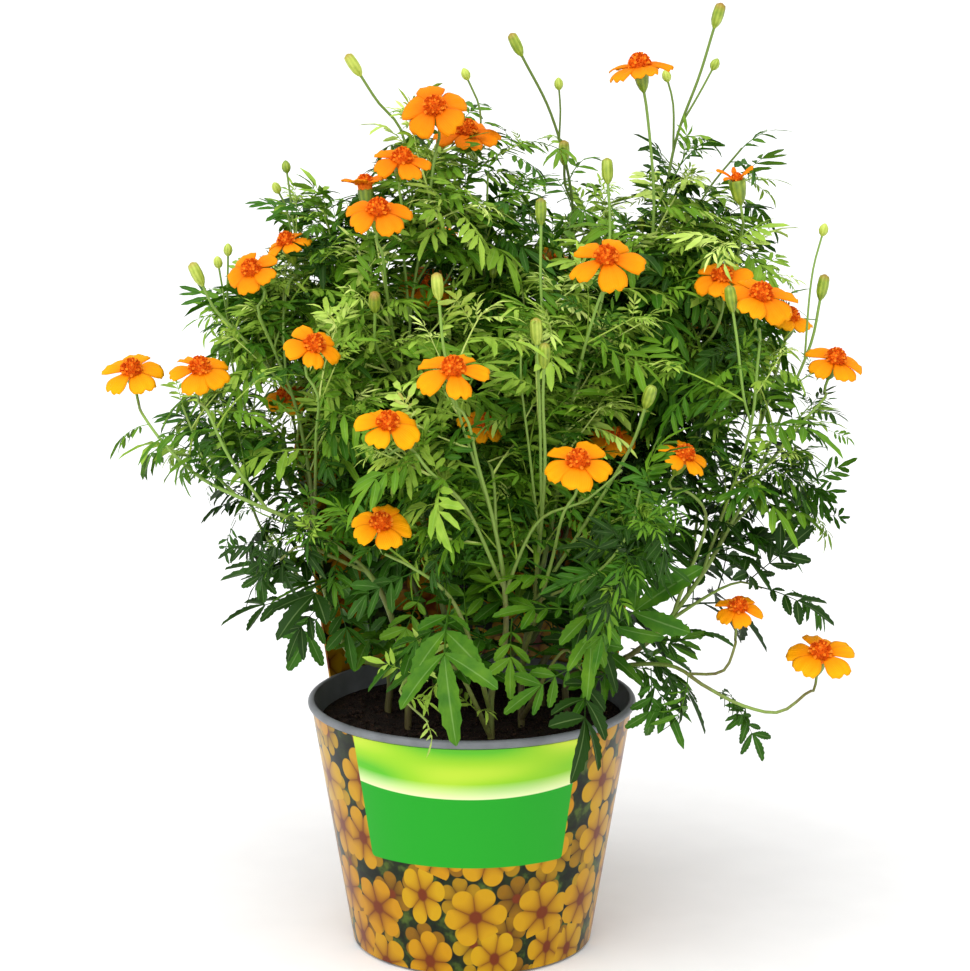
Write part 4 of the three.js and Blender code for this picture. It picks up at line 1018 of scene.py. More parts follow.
def shoot_radii(shoots, all_courses):
    """For each shoot a function that gives its radius at a share of its length."""
    radii = []
    for shoot, course in zip(shoots, all_courses):
        source = shoot.source
        start = min(SIDE_RADIUS, radii[source[0]](source[1]) * FORK_SHARE) if source else MAIN_RADIUS
        end = STALK_RADIUS * (THIN_STALK if shoot.tip in ("leaf", "small bud") else 1)
        radii.append(lambda share, a=start, b=end: a + (b - a) * min(1, share * 1.15) ** 0.8)
    return radii


def build_wood(name):
    """All shoots of a stem as one piece."""
    shoots = shoots_of[name]
    curve = bpy.data.curves.new(name, "CURVE")
    curve.dimensions = "3D"
    curve.bevel_depth = 1 * MM
    curve.bevel_resolution = 2
    curve.use_fill_caps = True
    for course, radius in zip(courses[name], shoot_radii(shoots, courses[name])):
        count = max(4, round(course.length / POINT_STEP)) + 1
        spline = curve.splines.new("POLY")
        spline.points.add(count - 1)
        for i, point in enumerate(spline.points):
            share = i / (count - 1)
            point.co = (*course.smooth(share) * MM, 1)
            point.radius = radius(share)
    wood = bpy.data.objects.new(name, curve)
    bpy.context.collection.objects.link(wood)
    pick(wood)
    bpy.ops.object.convert(target="MESH")
    wood = joined(name.replace("leafy_stem", "stem"), [bpy.context.active_object])
    smooth(wood, 70)
    return wood


woods = {name: build_wood(name) for name in STEMS}
print("stems:", sum(len(wood.data.polygons) for wood in woods.values()), "faces")

# %% [markdown]
# ## Leaves
#
# A signet marigold's leaf is feathery: narrow toothed leaflets stand in pairs along a thin rib,
# with one at the end. Low on the plant the leaflets are broad and dark. High up they are fine,
# and the youngest are small and lime green. Each leaflet is shaped from a flat grid, set along
# the rib, and the whole leaf is bent into an arch. A few variants of each kind are then copied
# over the plant.


# %% Shaped sheets
def sheet_piece(name, columns, rows, shape):
    """A grid whose every vertex is moved to shape(u, v) in millimetres. Its UV map stays flat."""
    piece = grid(name, columns, rows)
    for vertex in piece.data.vertices:
        vertex.co = Vector(shape(vertex.co.x + 0.5, vertex.co.y + 0.5)) * MM
    pick(piece)
    bpy.ops.object.shade_smooth()
    return piece


def leaflet_sheet(spec, long, wide, curl):
    """A toothed leaflet along +Y, folded along its middle. Its tip curls down."""
    columns, rows = spec["grid"]

    def shape(u, v):
        aside = 2 * u - 1
        is_tooth = round(v * rows) % 2
        outline = max(0.09, max(0, math.sin(math.pi * v ** spec["widest"])) ** spec["blunt"])
        x = 0.5 * wide * aside * outline * (1 - spec["tooth"] * abs(aside) * is_tooth)
        forward = 0.03 * long * abs(aside) * (1 - is_tooth) * (0 < v < 1)
        return x, long * v + forward, 0.35 * abs(x) - curl * long * v * v

    return sheet_piece("leaflet", columns, rows, shape)


def rolled_rod(name, length, radius, end_radius, rows):
    """A thin rod along +Y, rolled from a flat grid."""

    def shape(u, v):
        turn = 2 * math.pi * u
        r = radius + (end_radius - radius) * v
        return r * math.sin(turn), length * v, r * math.cos(turn)

    return sheet_piece(name, 3, rows, shape)


# pairs: place along the rib, and a leaflet's length and width. end: those of the end leaflet.
LEAF_KINDS = {
    "broad": {
        "length": 46, "rib": 27, "rib_radius": 0.5,
        "pairs": ((10, 10, 4.4), (18, 16, 6.4), (26, 18, 7)),
        "end": (21, 8), "grid": (4, 13), "tooth": 0.16,
        "widest": 1.2, "blunt": 0.6, "pitch": (-24, 8), "curl": (0.05, 0.25),
    },
    "fine": {
        "length": 32, "rib": 21, "rib_radius": 0.34,
        "pairs": ((6.5, 8.5, 3.1), (11, 11, 3.8), (15.5, 11.5, 3.9), (20, 10, 3.5)),
        "end": (13, 4.3), "grid": (2, 5), "tooth": 0.2,
        "widest": 1.1, "blunt": 0.72, "pitch": (-40, 4), "curl": (0.1, 0.42),
    },
    "young": {
        "length": 20, "rib": 13, "rib_radius": 0.28,
        "pairs": ((4, 5.5, 1.7), (7.2, 7, 2), (10.6, 7, 2)),
        "end": (8.5, 2.3), "grid": (2, 3), "tooth": 0,
        "widest": 1, "blunt": 0.8, "pitch": (-30, 20), "curl": (0.1, 0.5),
    },
}
LEAF_VARIANTS = 6
LEAF_SPREAD = 50  # degrees between a leaflet and the rib
LEAF_ARCH = 0.3  # how far a leaf's tip drops, by its length


def turned(degrees, axis):
    """A turn about an axis."""
    return Matrix.Rotation(math.radians(degrees), 4, axis)


def bend_down(piece, length, arch, sway):
    """Arches a piece that lies along +Y, and sways it aside."""
    for vertex in piece.data.vertices:
        share = vertex.co.y / MM / length
        vertex.co.z -= arch * length * MM * share * abs(share)
        vertex.co.x += sway * length * MM * share * abs(share)


def build_leaf(kind, variant):
    """One leaf along +Y with its upper side up."""
    spec = LEAF_KINDS[kind]
    draws = random.Random(f"{kind} {variant}")
    rib = spec["rib"]
    parts = [rolled_rod("rib", rib, spec["rib_radius"], 0.5 * spec["rib_radius"], 3)]
    places = [(y, side, long, wide) for y, long, wide in spec["pairs"] for side in (-1, 1)]
    for y, side, long, wide in places + [(rib - 0.5, 0, *spec["end"])]:
        grown = draws.uniform(0.8, 1.12)
        size = (long * grown, wide * grown * draws.uniform(0.85, 1.1))
        leaflet = leaflet_sheet(spec, *size, draws.uniform(*spec["curl"]))
        spread = turned(-side * (LEAF_SPREAD + draws.uniform(-10, 10)) + draws.uniform(-5, 5), "Z")
        place = Matrix.Translation((0, y + draws.uniform(-0.7, 0.7), 0))
        pitch = turned(draws.uniform(*spec["pitch"]), "X")
        roll = turned(draws.uniform(-28, 28), "Y")
        parts.append(stamp(leaflet, place @ spread @ pitch @ roll))
        discard(leaflet)
    leaf = joined(f"{kind}_leaf_{variant}", parts)
    bend_down(leaf, spec["length"], LEAF_ARCH + draws.uniform(-0.12, 0.18), draws.uniform(-0.14, 0.14))
    return leaf


leaf_kinds = {kind: [build_leaf(kind, i) for i in range(LEAF_VARIANTS)] for kind in LEAF_KINDS}
print({kind: len(leaves[0].data.polygons) for kind, leaves in leaf_kinds.items()}, "faces a leaf")

# %% [markdown]
# ### Twigs
#
# In the axil of nearly every leaf sits a short side shoot with leaves of its own, and a lime
# tuft at its tip. They are what makes the plant so dense. A twig is a thin rod with leaves
# stamped round it at the golden angle. Every copy of a leaf keeps two numbers in an attribute:
# its tone, which turns dark green to lime, and a draw of its own, so that no two neighbours are
# quite the same colour. The tone is the leaf's age, with painted shade and light added by place.

# %% Twigs
GOLDEN_ANGLE = 137.5
TWIG_LENGTH = 28
TWIG_LEAVES = 4
TUFT_LEAVES = 4
TWIG_VARIANTS = 5
TUFT_AGE = 0.25  # how much younger the tuft is than its twig


def tinted(copy, tone, chance):
    """Adds a copy's tone, its age with any painted shade, and its own draw to the attribute that its material
    reads.
    """
    attributes = copy.data.color_attributes
    values = np.zeros(4 * len(copy.data.vertices), dtype=np.float32)
    if "tint" in attributes:
        attributes["tint"].data.foreach_get("color", values)
    else:
        attributes.new(name="tint", type="FLOAT_COLOR", domain="POINT")
    values[0::4] += tone
    values[1::4] = (values[1::4] + chance) % 1
    attributes["tint"].data.foreach_set("color", values)
    return copy


def laid(direction, up, size, place):
    """The matrix that lays a leaf along a direction, with its upper side towards another."""
    up = unit(up - direction * np.dot(up, direction))
    columns = (np.cross(direction, up) * size, direction * size, up * size, place)
    return Matrix([[column[row] for column in columns] for row in range(3)] + [[0, 0, 0, 1]])


def leaf_matrix(place, heading, azimuth, opening, size=1):
    """Stands a leaf on a stem at a place, turned round the stem by its azimuth."""
    side = unit(np.cross(heading, (0, 0, 1)))
    over = np.cross(side, heading)
    out = side * math.cos(math.radians(azimuth)) + over * math.sin(math.radians(azimuth))
    direction = heading * math.cos(opening) + out * math.sin(opening)
    return laid(direction, heading + np.array((0, 0, 1)), size, place)


def build_twig(kind, variant):
    """A side shoot along +Y with leaves of a kind at its foot and young ones at its tip."""
    draws = random.Random(f"twig {kind} {variant}")
    parts = [tinted(rolled_rod("twig_stem", TWIG_LENGTH, 0.5, 0.3, 4), 0.35, 0.5)]

    def add_leaf(grown, share, azimuth, opening, size, tone):
        place = np.array((0, TWIG_LENGTH * share, 0))
        matrix = leaf_matrix(place, np.array((0, 1, 0.02)), azimuth, math.radians(opening), size)
        parts.append(tinted(stamp(draws.choice(leaf_kinds[grown]), matrix), tone, draws.random()))

    for i in range(TWIG_LEAVES):
        azimuth = GOLDEN_ANGLE * i + draws.uniform(-20, 20)
        add_leaf(kind, 0.3 + 0.16 * i, azimuth, draws.uniform(45, 70), draws.uniform(0.6, 0.82), 0)
    for i in range(TUFT_LEAVES):
        azimuth = 360 * i / TUFT_LEAVES + draws.uniform(-25, 25)
        share, opening = draws.uniform(0.86, 1), draws.uniform(12, 55)
        add_leaf("young", share, azimuth, opening, draws.uniform(0.45, 0.75), TUFT_AGE)
    twig = joined(f"{kind}_twig_{variant}", parts)
    bend_down(twig, TWIG_LENGTH, draws.uniform(-0.15, 0.2), draws.uniform(-0.2, 0.2))
    return twig


twig_kinds = {kind: [build_twig(kind, i) for i in range(TWIG_VARIANTS)] for kind in ("fine", "young")}
print({kind: len(twigs[0].data.polygons) for kind, twigs in twig_kinds.items()}, "faces a twig")

# %% [markdown]
# ### Where leaves grow
#
# Leaves leave a stem in turn, each about 137 degrees round it from the last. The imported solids
# hold one leaf in four, so the script repeats the draws that they were built by.

# %% Leaf places
LEAF_STEP = 11.4
BARE_FOOT = 12
ROOT_DEPTH = 10  # how deep a stem stands in the compost
BARE_END = {"leaf": 3, "other": 22}  # at the end of a shoot, by what it carries
TIP_FOOT = 2  # how far below a leafy tip its last leaf starts
TURN_SPREAD = 50
OPENING = {"middle": 62, "spread": 16}
SIZE = {"least": 0.85, "spread": 0.3}
TIP_OPENING = 0.15
BROAD_BELOW = 150
YOUNG_ABOVE = 262


class LeafPlace(NamedTuple):
    """A leaf's number on its shoot, its share of the length, how it opens there and its size."""

    number: int
    share: float
    azimuth: float
    opening: float
    size: float


def seeded_draws(seed):
    """Repeatable draws between 0 and 1, the same ones that the solids were built by."""
    state = seed
    mask = 0xFFFFFFFF
    while True:
        state = (state + 0x6D2B79F5) & mask
        stirred = (state ^ (state >> 15)) * (1 | state) & mask
        stirred = ((stirred + ((stirred ^ (stirred >> 7)) * (61 | stirred) & mask)) ^ stirred) & mask
        yield (stirred ^ (stirred >> 14)) / 4294967296


def kind_at(shoot, z):
    """The kind of leaf that grows at a height."""
    if shoot.leaves:
        return shoot.leaves
    if z < BROAD_BELOW:
        return "broad"
    return "fine" if z < YOUNG_ABOVE else "young"


def leaf_places(shoot, course, draws):
    """Every leaf of a shoot in order, with one more at a leafy tip."""
    foot = BARE_FOOT if shoot.source else BARE_FOOT + 2 * ROOT_DEPTH
    top = course.length - BARE_END.get(shoot.tip, BARE_END["other"])
    leaves = []
    while foot + len(leaves) * LEAF_STEP < top:
        k = len(leaves)
        azimuth = k * GOLDEN_ANGLE + TURN_SPREAD * next(draws)
        opening = math.radians(OPENING["middle"] + OPENING["spread"] * (next(draws) - 0.5))
        size = SIZE["least"] + SIZE["spread"] * next(draws)
        leaves.append(LeafPlace(k, (foot + k * LEAF_STEP) / course.length, azimuth, opening, size))
    if shoot.tip == "leaf":
        leaves.append(LeafPlace(0, 1 - TIP_FOOT / course.length, 0, TIP_OPENING, 1))
    return leaves


print("a leaf every", LEAF_STEP, "mm")

# %% [markdown]
# A packed leaf was turned aside where it would have met something. The script finds which way
# by looking for the leaf's tip among the solid's own vertices.

# %% Packed leaves
BUILT_EVERY = 4
BENDS = (0, 40, -40, 80, -80, 120, -120, 160)  # degrees that a leaf may be turned round its stem
TIP_TOLERANCE = 0.06
SOLID_LEAFLET = {"broad": 20, "fine": 13, "young": 8.5}

solid_vertices = [
    tuple(vertex.co / MM) for name in STEMS for vertex in bpy.data.objects[name].data.vertices
]
solid_tree = KDTree(len(solid_vertices))
for i, co in enumerate(solid_vertices):
    solid_tree.insert(co, i)
solid_tree.balance()


def solid_bend(place, heading, leaf, kind):
    """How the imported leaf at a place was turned, or None where there is none."""
    length = LEAF_KINDS[kind]["length"] * leaf.size
    leaflet = SOLID_LEAFLET[kind] * leaf.size
    tip = Vector((0, length + 0.1 * leaflet, 0.35 - LEAF_ARCH * length - 0.14 * leaflet))
    for bend in BENDS:
        matrix = leaf_matrix(place, heading, leaf.azimuth + bend, leaf.opening)
        if solid_tree.find(matrix @ tip)[2] < TIP_TOLERANCE:
            return bend
    return None


print(len(solid_vertices), "vertices of packed stems to search")

# %% [markdown]
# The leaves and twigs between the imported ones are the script's own. They stay within the edge
# of the foliage as the camera sees it, and fewer grow in the places where the plant is thin.

# %% Edge and airy places
# In dots, clockwise from the pot's left.
FOLIAGE_EDGE = (
    (330, 660), (282, 670), (275, 630), (300, 600), (262, 608), (222, 556), (205, 512), (150, 468),
    (105, 502), (112, 400), (150, 392), (185, 420), (178, 345), (186, 300), (240, 262), (272, 235),
    (276, 188), (300, 165), (350, 195), (372, 150), (388, 108), (398, 70), (445, 66), (500, 104),
    (520, 128), (535, 112), (612, 116), (640, 150), (660, 120), (705, 108), (780, 112), (784, 162),
    (765, 215), (800, 250), (832, 285), (838, 335), (808, 400), (858, 440), (832, 478), (830, 520),
    (812, 568), (850, 618), (775, 610), (740, 640), (735, 690), (780, 755), (740, 755), (662, 748),
    (620, 765), (570, 760), (500, 745), (440, 750), (360, 700),
)
# The middle of each place in dots, its half width and height, and the share of leaves there.
AIRY_PLACES = (
    ((235, 500), (75, 60), 0.35),
    ((200, 430), (70, 45), 0.55),
    ((250, 590), (60, 50), 0.25),
    ((385, 600), (60, 58), 0.3),
    ((475, 620), (40, 30), 0.5),
    ((765, 460), (85, 115), 0.42),
    ((720, 640), (110, 60), 0.45),
    ((600, 705), (60, 50), 0.3),
    ((430, 705), (95, 45), 0.3),
    ((700, 165), (95, 80), 0.36),
    ((560, 150), (60, 40), 0.6),
)


def seen_at(point):
    """The dot of the picture at which the camera sees a place."""
    tilt = math.radians(CAMERA["tilt"])
    x, y, z = point - np.array((CAMERA["aside"], -CAMERA["distance"], CAMERA["height"]))
    depth = y * math.cos(tilt) - z * math.sin(tilt)
    rise = y * math.sin(tilt) + z * math.cos(tilt)
    scale = CAMERA["lens"] / depth
    return PICTURE["width"] / 2 + x * scale, PICTURE["height"] / 2 - rise * scale


def is_inside_edge(point):
    """Whether the camera sees a place within the edge of the foliage."""
    right, down = seen_at(point)
    inside = False
    for (x0, y0), (x1, y1) in zip(FOLIAGE_EDGE, FOLIAGE_EDGE[1:] + FOLIAGE_EDGE[:1]):
        if (y0 > down) != (y1 > down) and right < x0 + (x1 - x0) * (down - y0) / (y1 - y0):
            inside = not inside
    return inside


def growth_at(point):
    """The share of leaves that grow at a place."""
    right, down = seen_at(point)
    share = 1
    for (x, y), (wide, high), thin in AIRY_PLACES:
        if ((right - x) / wide) ** 2 + ((down - y) / high) ** 2 < 1:
            share = min(share, thin)
    return share


print("the foliage's edge has", len(FOLIAGE_EDGE), "corners, and", len(AIRY_PLACES), "airy places")

# %% [markdown]
# Flowers, buds and the upper parts of their stalks stand free in the photo. Each of them is kept
# as a round place that no leaf may stand in front of, wider for the stalks nearest to the viewer.

# %% Places that are seen
FLOWER_DEPTH = 110  # how far in front of a flower its view is kept free
STALK_DEPTH = 90
HIDDEN_FROM = -50  # flowers as far behind the axis as this may be hidden
HALF_HIDDEN_FROM = -25
FLOWER_SHOWN = {"whole": 1.02, "middle": 0.6}  # of the petals' reach
STALK_HIDDEN_FROM = -30
NEAR_FROM = 35
STALK_SHOWN = {"near": 90, "far": 34}  # the length of stalk below a flower
STALK_MARGIN = {"near": 4, "far": 1.8}
BUD_SHOWN = {"above": 5, "radius": 5.5}
STALK_STEP = 5  # between the places along a stalk
AIM_HEIGHT = 220  # the height that the line to the camera is taken from

shown = []
for bloom in BLOOMS.values():
    forward = bloom.at[2]
    if forward > HIDDEN_FROM:
        part = "whole" if forward > HALF_HIDDEN_FROM else "middle"
        shown.append((surveyed(*bloom.at), bloom.reach * FLOWER_SHOWN[part], FLOWER_DEPTH))
for name in STEMS:
    for shoot, course in zip(shoots_of[name], courses[name]):
        forward = shoot.path[-1][2]
        if shoot.tip == "leaf" or forward < STALK_HIDDEN_FROM:
            continue
        if "bud" in shoot.tip:
            middle = course.at(1) + course.heading(1) * BUD_SHOWN["above"]
            shown.append((middle, BUD_SHOWN["radius"], STALK_DEPTH))
        nearness = "near" if forward > NEAR_FROM else "far"
        for back in range(4, STALK_SHOWN[nearness], STALK_STEP):
            stalk_place = course.at(max(0, 1 - back / course.length))
            shown.append((stalk_place, STALK_MARGIN[nearness], STALK_DEPTH))
shown_centres, shown_radii, shown_depths = (np.array(values) for values in zip(*shown))
to_camera = unit(np.array((CAMERA["aside"], -CAMERA["distance"], CAMERA["height"] - AIM_HEIGHT)))


def hides_shown(point):
    """Whether a point stands in front of a place that is to be seen."""
    offsets = point - shown_centres
    nearer = offsets @ to_camera
    aside = np.linalg.norm(offsets - np.outer(nearer, to_camera), axis=1)
    return np.any((nearer > 0) & (nearer < shown_depths) & (aside < shown_radii))


print(len(shown), "places are kept in view")

# %% [markdown]
# Before a leaf or twig is set down, a few points along it are tested against the pot, the panel,
# the compost and the flowers. Points are quick to test, but a tip may still touch something.

# %% Free space
LOWEST = 84  # no leaf hangs below this height outside the pot
LOWEST_IN_FRONT = 108  # nor below this one in front of the compost
FRONT_STARTS = 30
BOX_SPARE = 5
MARGIN = 0.8
PANEL_CLEARANCE = 4.5
PANEL_EDGE_SPARE = 6  # degrees past the panel's edge
FLOWER_ROOM = {"below": 1.5, "above": 12, "reach": 0.95}
TEST_SHARES = {0.25: (0,), 0.45: (-1, 1), 0.65: (-1, 1), 0.85: (0,), 1.05: (0,)}

box_low, box_high = (np.array(corner) / MM for corner in solid_box)
centres = np.array([surveyed(*bloom.at) for bloom in BLOOMS.values()])
axes = np.array([flower_axis(bloom.lean) for bloom in BLOOMS.values()])
reaches = np.array([bloom.reach for bloom in BLOOMS.values()])


def is_free(point, low):
    """Whether a point is clear of the pot, the panel, the compost, the flowers and their view."""
    x, y, z = point
    out = math.hypot(x, y)
    if np.any(point < box_low - BOX_SPARE) or np.any(point > box_high + BOX_SPARE):
        return False
    if not low and y < -FRONT_STARTS and z < LOWEST_IN_FRONT:
        return False
    if z < POT["height"] + MARGIN:
        within = out + MARGIN < pot_radius(z) - POT["wall"] and z > SOIL_TOP + 1 + MARGIN
        outside = out - MARGIN > POT["rim"] + STEP["out"] and z > LOWEST
        if not (within or outside):
            return False
    elif past_edge(math.degrees(math.atan2(x, -y))) > -PANEL_EDGE_SPARE and z < SLEEVE["top"] + MARGIN:
        if abs(out - sleeve_radius(180, z)) < PANEL_CLEARANCE:
            return False
    offsets = point - centres
    along = np.sum(offsets * axes, axis=1)
    away = np.linalg.norm(offsets - axes * along[:, None], axis=1)
    level = (along > -FLOWER_ROOM["below"]) & (along < FLOWER_ROOM["above"])
    if np.any(level & (away < FLOWER_ROOM["reach"] * reaches)):
        return False
    return not hides_shown(point)


def is_clear(matrix, length, width, drop, low):
    """Whether a few points along a leaf or twig are free and inside the edge."""
    for share, sides in TEST_SHARES.items():
        for side in sides:
            point = np.array(matrix @ Vector((side * width, length * share, -drop * length * share * share)))
            if not is_free(point, low) or not is_inside_edge(point):
                return False
    return True


print("each leaf is tested at", sum(map(len, TEST_SHARES.values())), "points")

# %% [markdown]
# ### How old the leaves are, and painted shade
#
# Age is what colours a leaf: 0 is old and dark green, 1 is new and lime. Broad leaves are the
# oldest. Painted shade makes the outermost leaves and the lower fine ones darker than the rest,
# and painted light makes the broad leaves in front paler.

# %% Ages
AGE = {"broad": 0.15, "fine": 0.54, "young": 0.5}
AGE_SPREAD = (-0.15, 0.2)
YOUNG_SHOOT_AGE = 0.75
# painted shade: leaves darker towards the left and right sides
OUTSIDE_PAINTED_DARKER = 0.12
OUTSIDE = (30, 85)  # from here to there, to the left or right of the axis
# painted light: broad leaves paler in front
FRONT_PAINTED_LIGHTER = 0.07
FRONT = (0, 40)
# painted shade: the other leaves darker lower down
LOWER_PAINTED_DARKER = 0.3
HALF_WAY_UP = 205
LOWER_SPAN = 55


def age_with_painted_shade_at(shoot, kind, place, draws):
    """The tone of a leaf of a kind at a place on its shoot: its age, with painted shade and light by place.
    """
    aside, behind, height = place
    tone = AGE[kind] + draws.uniform(*AGE_SPREAD)
    # painted shade: darker towards the sides
    tone -= OUTSIDE_PAINTED_DARKER * smoothstep(abs(aside), *OUTSIDE)
    if shoot.leaves == "young":
        return YOUNG_SHOOT_AGE
    # painted light on the broad leaves in front, painted shade on the others lower down
    if kind == "broad":
        return tone + FRONT_PAINTED_LIGHTER * smoothstep(-behind, *FRONT)
    return tone - LOWER_PAINTED_DARKER * smoothstep(HALF_WAY_UP - height, 0, LOWER_SPAN)


print("ages:", AGE)

# %% [markdown]
# ### Growing the leaves
#
# A stem's growth is a list of stamped copies, joined at the end. A leaf or twig that isn't clear
# is turned round the stem in steps, and left out where no step helps.

# %% Growth
LEAF_ROLL = 25
TWIG_ROOM = (TWIG_LENGTH + 10, 9, 0)  # with its tuft: its length, half its width and its drop


class Growth:
    """What one stem has grown so far."""

    def __init__(self):
        self.copies = []
        self.counts = dict.fromkeys(("packed", "leaves", "twigs", "backing", "single"), 0)

    def add(self, part, prototypes, matrix, tone, draws):
        """Stamps one of a few variants, rolled a little about its own length."""
        roll = turned(draws.uniform(-LEAF_ROLL, LEAF_ROLL), "Y")
        copy = stamp(draws.choice(prototypes), matrix @ roll)
        self.copies.append(tinted(copy, tone, draws.random()))
        self.counts[part] += 1

    def add_clear(self, part, grown, stand, turn, opening, scale, tone, draws, low=False):
        """Adds a leaf or twig where it is clear."""
        prototypes, room = grown
        for bend in BENDS:
            matrix = leaf_matrix(*stand, turn + bend, opening, scale)
            if is_clear(matrix, *room, low):
                self.add(part, prototypes, matrix, tone, draws)
                return


def leaf_with_room(kind):
    """A leaf's variants, and the room it takes: its length, half its width and its drop."""
    length = LEAF_KINDS[kind]["length"]
    return leaf_kinds[kind], (length, 0.3 * length, LEAF_ARCH)


print("room of a fine leaf", leaf_with_room("fine")[1])

# %% [markdown]
# A packed leaf is replaced by a fine one in the same place, turned the same way. It is drawn
# shorter where it would reach past the foliage's edge or hide a flower or stalk.

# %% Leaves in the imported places
SHORTENED = 0.62


def grow_packed(growth, course, leaf, stand, kind, tone, draws):
    """Grows the leaf that the solids hold at a place. Says whether they hold one."""
    bend = solid_bend(course.on_solid(leaf.share), stand[1], leaf, kind)
    if bend is None:
        return False
    length = LEAF_KINDS[kind]["length"]
    matrix = leaf_matrix(*stand, leaf.azimuth + bend, leaf.opening, leaf.size)
    tip = np.array(matrix @ Vector((0, 0.9 * length, -0.25 * length)))
    middle = np.array(matrix @ Vector((0, 0.6 * length, -0.1 * length)))
    if not is_inside_edge(tip) or hides_shown(tip) or hides_shown(middle):
        matrix = matrix @ Matrix.Diagonal((SHORTENED, SHORTENED, SHORTENED, 1))
        print("shortened: a", kind, "leaf seen at", [round(x) for x in seen_at(stand[0])])
    growth.add("packed", leaf_kinds[kind], matrix, tone, draws)
    return True


print("in the way, a leaf is", SHORTENED, "of its size")

# %% [markdown]
# Leaves stand in pairs, so each place has another leaf across the stem, and both where the
# solids hold none. Further up, twigs grow from the same places, most of them at the back.

# %% Leaves between, and twigs
PAIR_SIZE = (0.66, 0.92)
PAIR_OPENING = (0.75, 1.15)
FINE_FOR_YOUNG = 0.85  # the size of the fine leaves that stand between young ones
TWIG_FOOT_HEIGHT = 150
AIRY_ABOVE = 240
TWIG_SHARE = {"airy": 0.55, "dense": 0.8}
DENSE_FROM = 20  # how far behind the axis the dense back of the plant starts
DENSE_BELOW = 260
TWIGS_AT_A_PLACE = {"front": 2, "back": 4}
LIME_SHARE = 0.2  # of the twigs below the airy part
TWIG = {"turn": (-50, 50), "opening": (22, 60), "scale": (0.65, 1.05), "ripening": (-0.2, 0.2)}


def grow_pair(growth, shoot, leaf, stand, kind, tone, share_grown, turns, draws):
    """Grows leaves at a place of a stem, by the turns round it."""
    relative = 1
    if kind == "young" and not shoot.leaves:
        kind, relative = "fine", FINE_FOR_YOUNG
    for turn in turns:
        scale = leaf.size * draws.uniform(*PAIR_SIZE) * relative
        opening = leaf.opening * draws.uniform(*PAIR_OPENING)
        if draws.random() > share_grown:
            continue
        place = (stand, leaf.azimuth + turn, opening, scale, tone)
        growth.add_clear("leaves", leaf_with_room(kind), *place, draws, shoot.low)


def grow_twigs(growth, leaf, stand, tone, share_grown, draws):
    """Grows the twigs in the axils of a place."""
    _, behind, height = stand[0]
    side = "back" if behind > DENSE_FROM and height < DENSE_BELOW else "front"
    for i in range(TWIGS_AT_A_PLACE[side]):
        turn = leaf.azimuth + 180 * i + draws.uniform(*TWIG["turn"])
        opening = math.radians(draws.uniform(*TWIG["opening"]))
        kind = "young" if height < AIRY_ABOVE and draws.random() < LIME_SHARE else "fine"
        scale, ripening = draws.uniform(*TWIG["scale"]), draws.uniform(*TWIG["ripening"])
        if draws.random() > share_grown * TWIG_SHARE["airy" if height > AIRY_ABOVE else "dense"]:
            continue
        grown = (twig_kinds[kind], TWIG_ROOM)
        growth.add_clear("twigs", grown, stand, turn, opening, scale, tone + ripening, draws)


print("twigs at a place:", TWIGS_AT_A_PLACE)

# %% [markdown]
# The photo doesn't show the back of the plant. A few more leaves and twigs close it there, as
# the front is closed, with painted shade that makes them darker. They come from draws of their own, so that
# they change nothing else.

# %% Backing
BACKING = {"from": 175, "to": 262, "behind": 10, "count": 3, "painted_darker": 0.15}
BACKING_STAND = {"turn": (0, 90), "opening": (40, 85), "scale": (0.85, 1.15)}


def grow_backing(growth, leaf, stand, tone, draws):
    """Grows a few more leaves and a twig at the back of the plant."""
    _, behind, height = stand[0]
    if behind < BACKING["behind"] or not BACKING["from"] < height < BACKING["to"]:
        return
    for i in range(BACKING["count"]):
        turn = leaf.azimuth + 360 / BACKING["count"] * i + draws.uniform(*BACKING_STAND["turn"])
        opening = math.radians(draws.uniform(*BACKING_STAND["opening"]))
        scale = draws.uniform(*BACKING_STAND["scale"])
        grown = leaf_with_room("fine")
        if i == 0 and leaf.number % 2 == 0:
            grown = (twig_kinds["fine"], TWIG_ROOM)
        # painted shade: the backing is darker than the leaves at its place
        growth.add_clear("backing", grown, stand, turn, opening, scale, tone - BACKING["painted_darker"], draws)


print("backing:", BACKING)

# %% [markdown]
# Some single leaves stand out in the photo, mostly large dark ones low down. They are laid from
# where they start to where they end.

# %% Single leaves
# Where they start and end, their kind and their tone.
SINGLE_LEAVES = {
    "leafy_stem_left_outer": [
        ((262, 536, 34), (258, 606, 38), "broad", 0.08),
        ((236, 520, 30), (214, 560, 32), "fine", 0.1),
        ((330, 596, 30), (276, 640, 44), "broad", 0.2),
    ],
    "leafy_stem_left": [
        ((334, 590, 10), (288, 668, 14), "broad", 0.16),
        ((336, 592, 20), (350, 650, 40), "broad", 0.26),
    ],
    "leafy_stem_centre_left": [((424, 588, 30), (392, 656, 44), "broad", 0.34)],
    "leafy_stem_front": [((512, 618, 44), (505, 684, 60), "broad", 0.42)],
    "leafy_stem_centre_right": [
        ((584, 662, 56), (508, 694, 66), "broad", 0.44),
        ((560, 580, 52), (500, 566, 60), "broad", 0.4),
        ((575, 610, 52), (508, 600, 64), "broad", 0.4),
    ],
    "leafy_stem_right": [
        ((736, 704, 47), (768, 754, 52), "broad", 0.16),
        ((651, 668, 36), (655, 745, 40), "broad", 0.14),
        ((792, 590, 26), (842, 616, 30), "fine", 0.3),
        ((640, 640, 40), (690, 640, 46), "broad", 0.2),
        ((828, 430, 18), (858, 441, 20), "fine", 0.3),
    ],
}
TOWARDS_VIEWER = np.array((0, -0.6, 1))  # which way their upper sides are turned


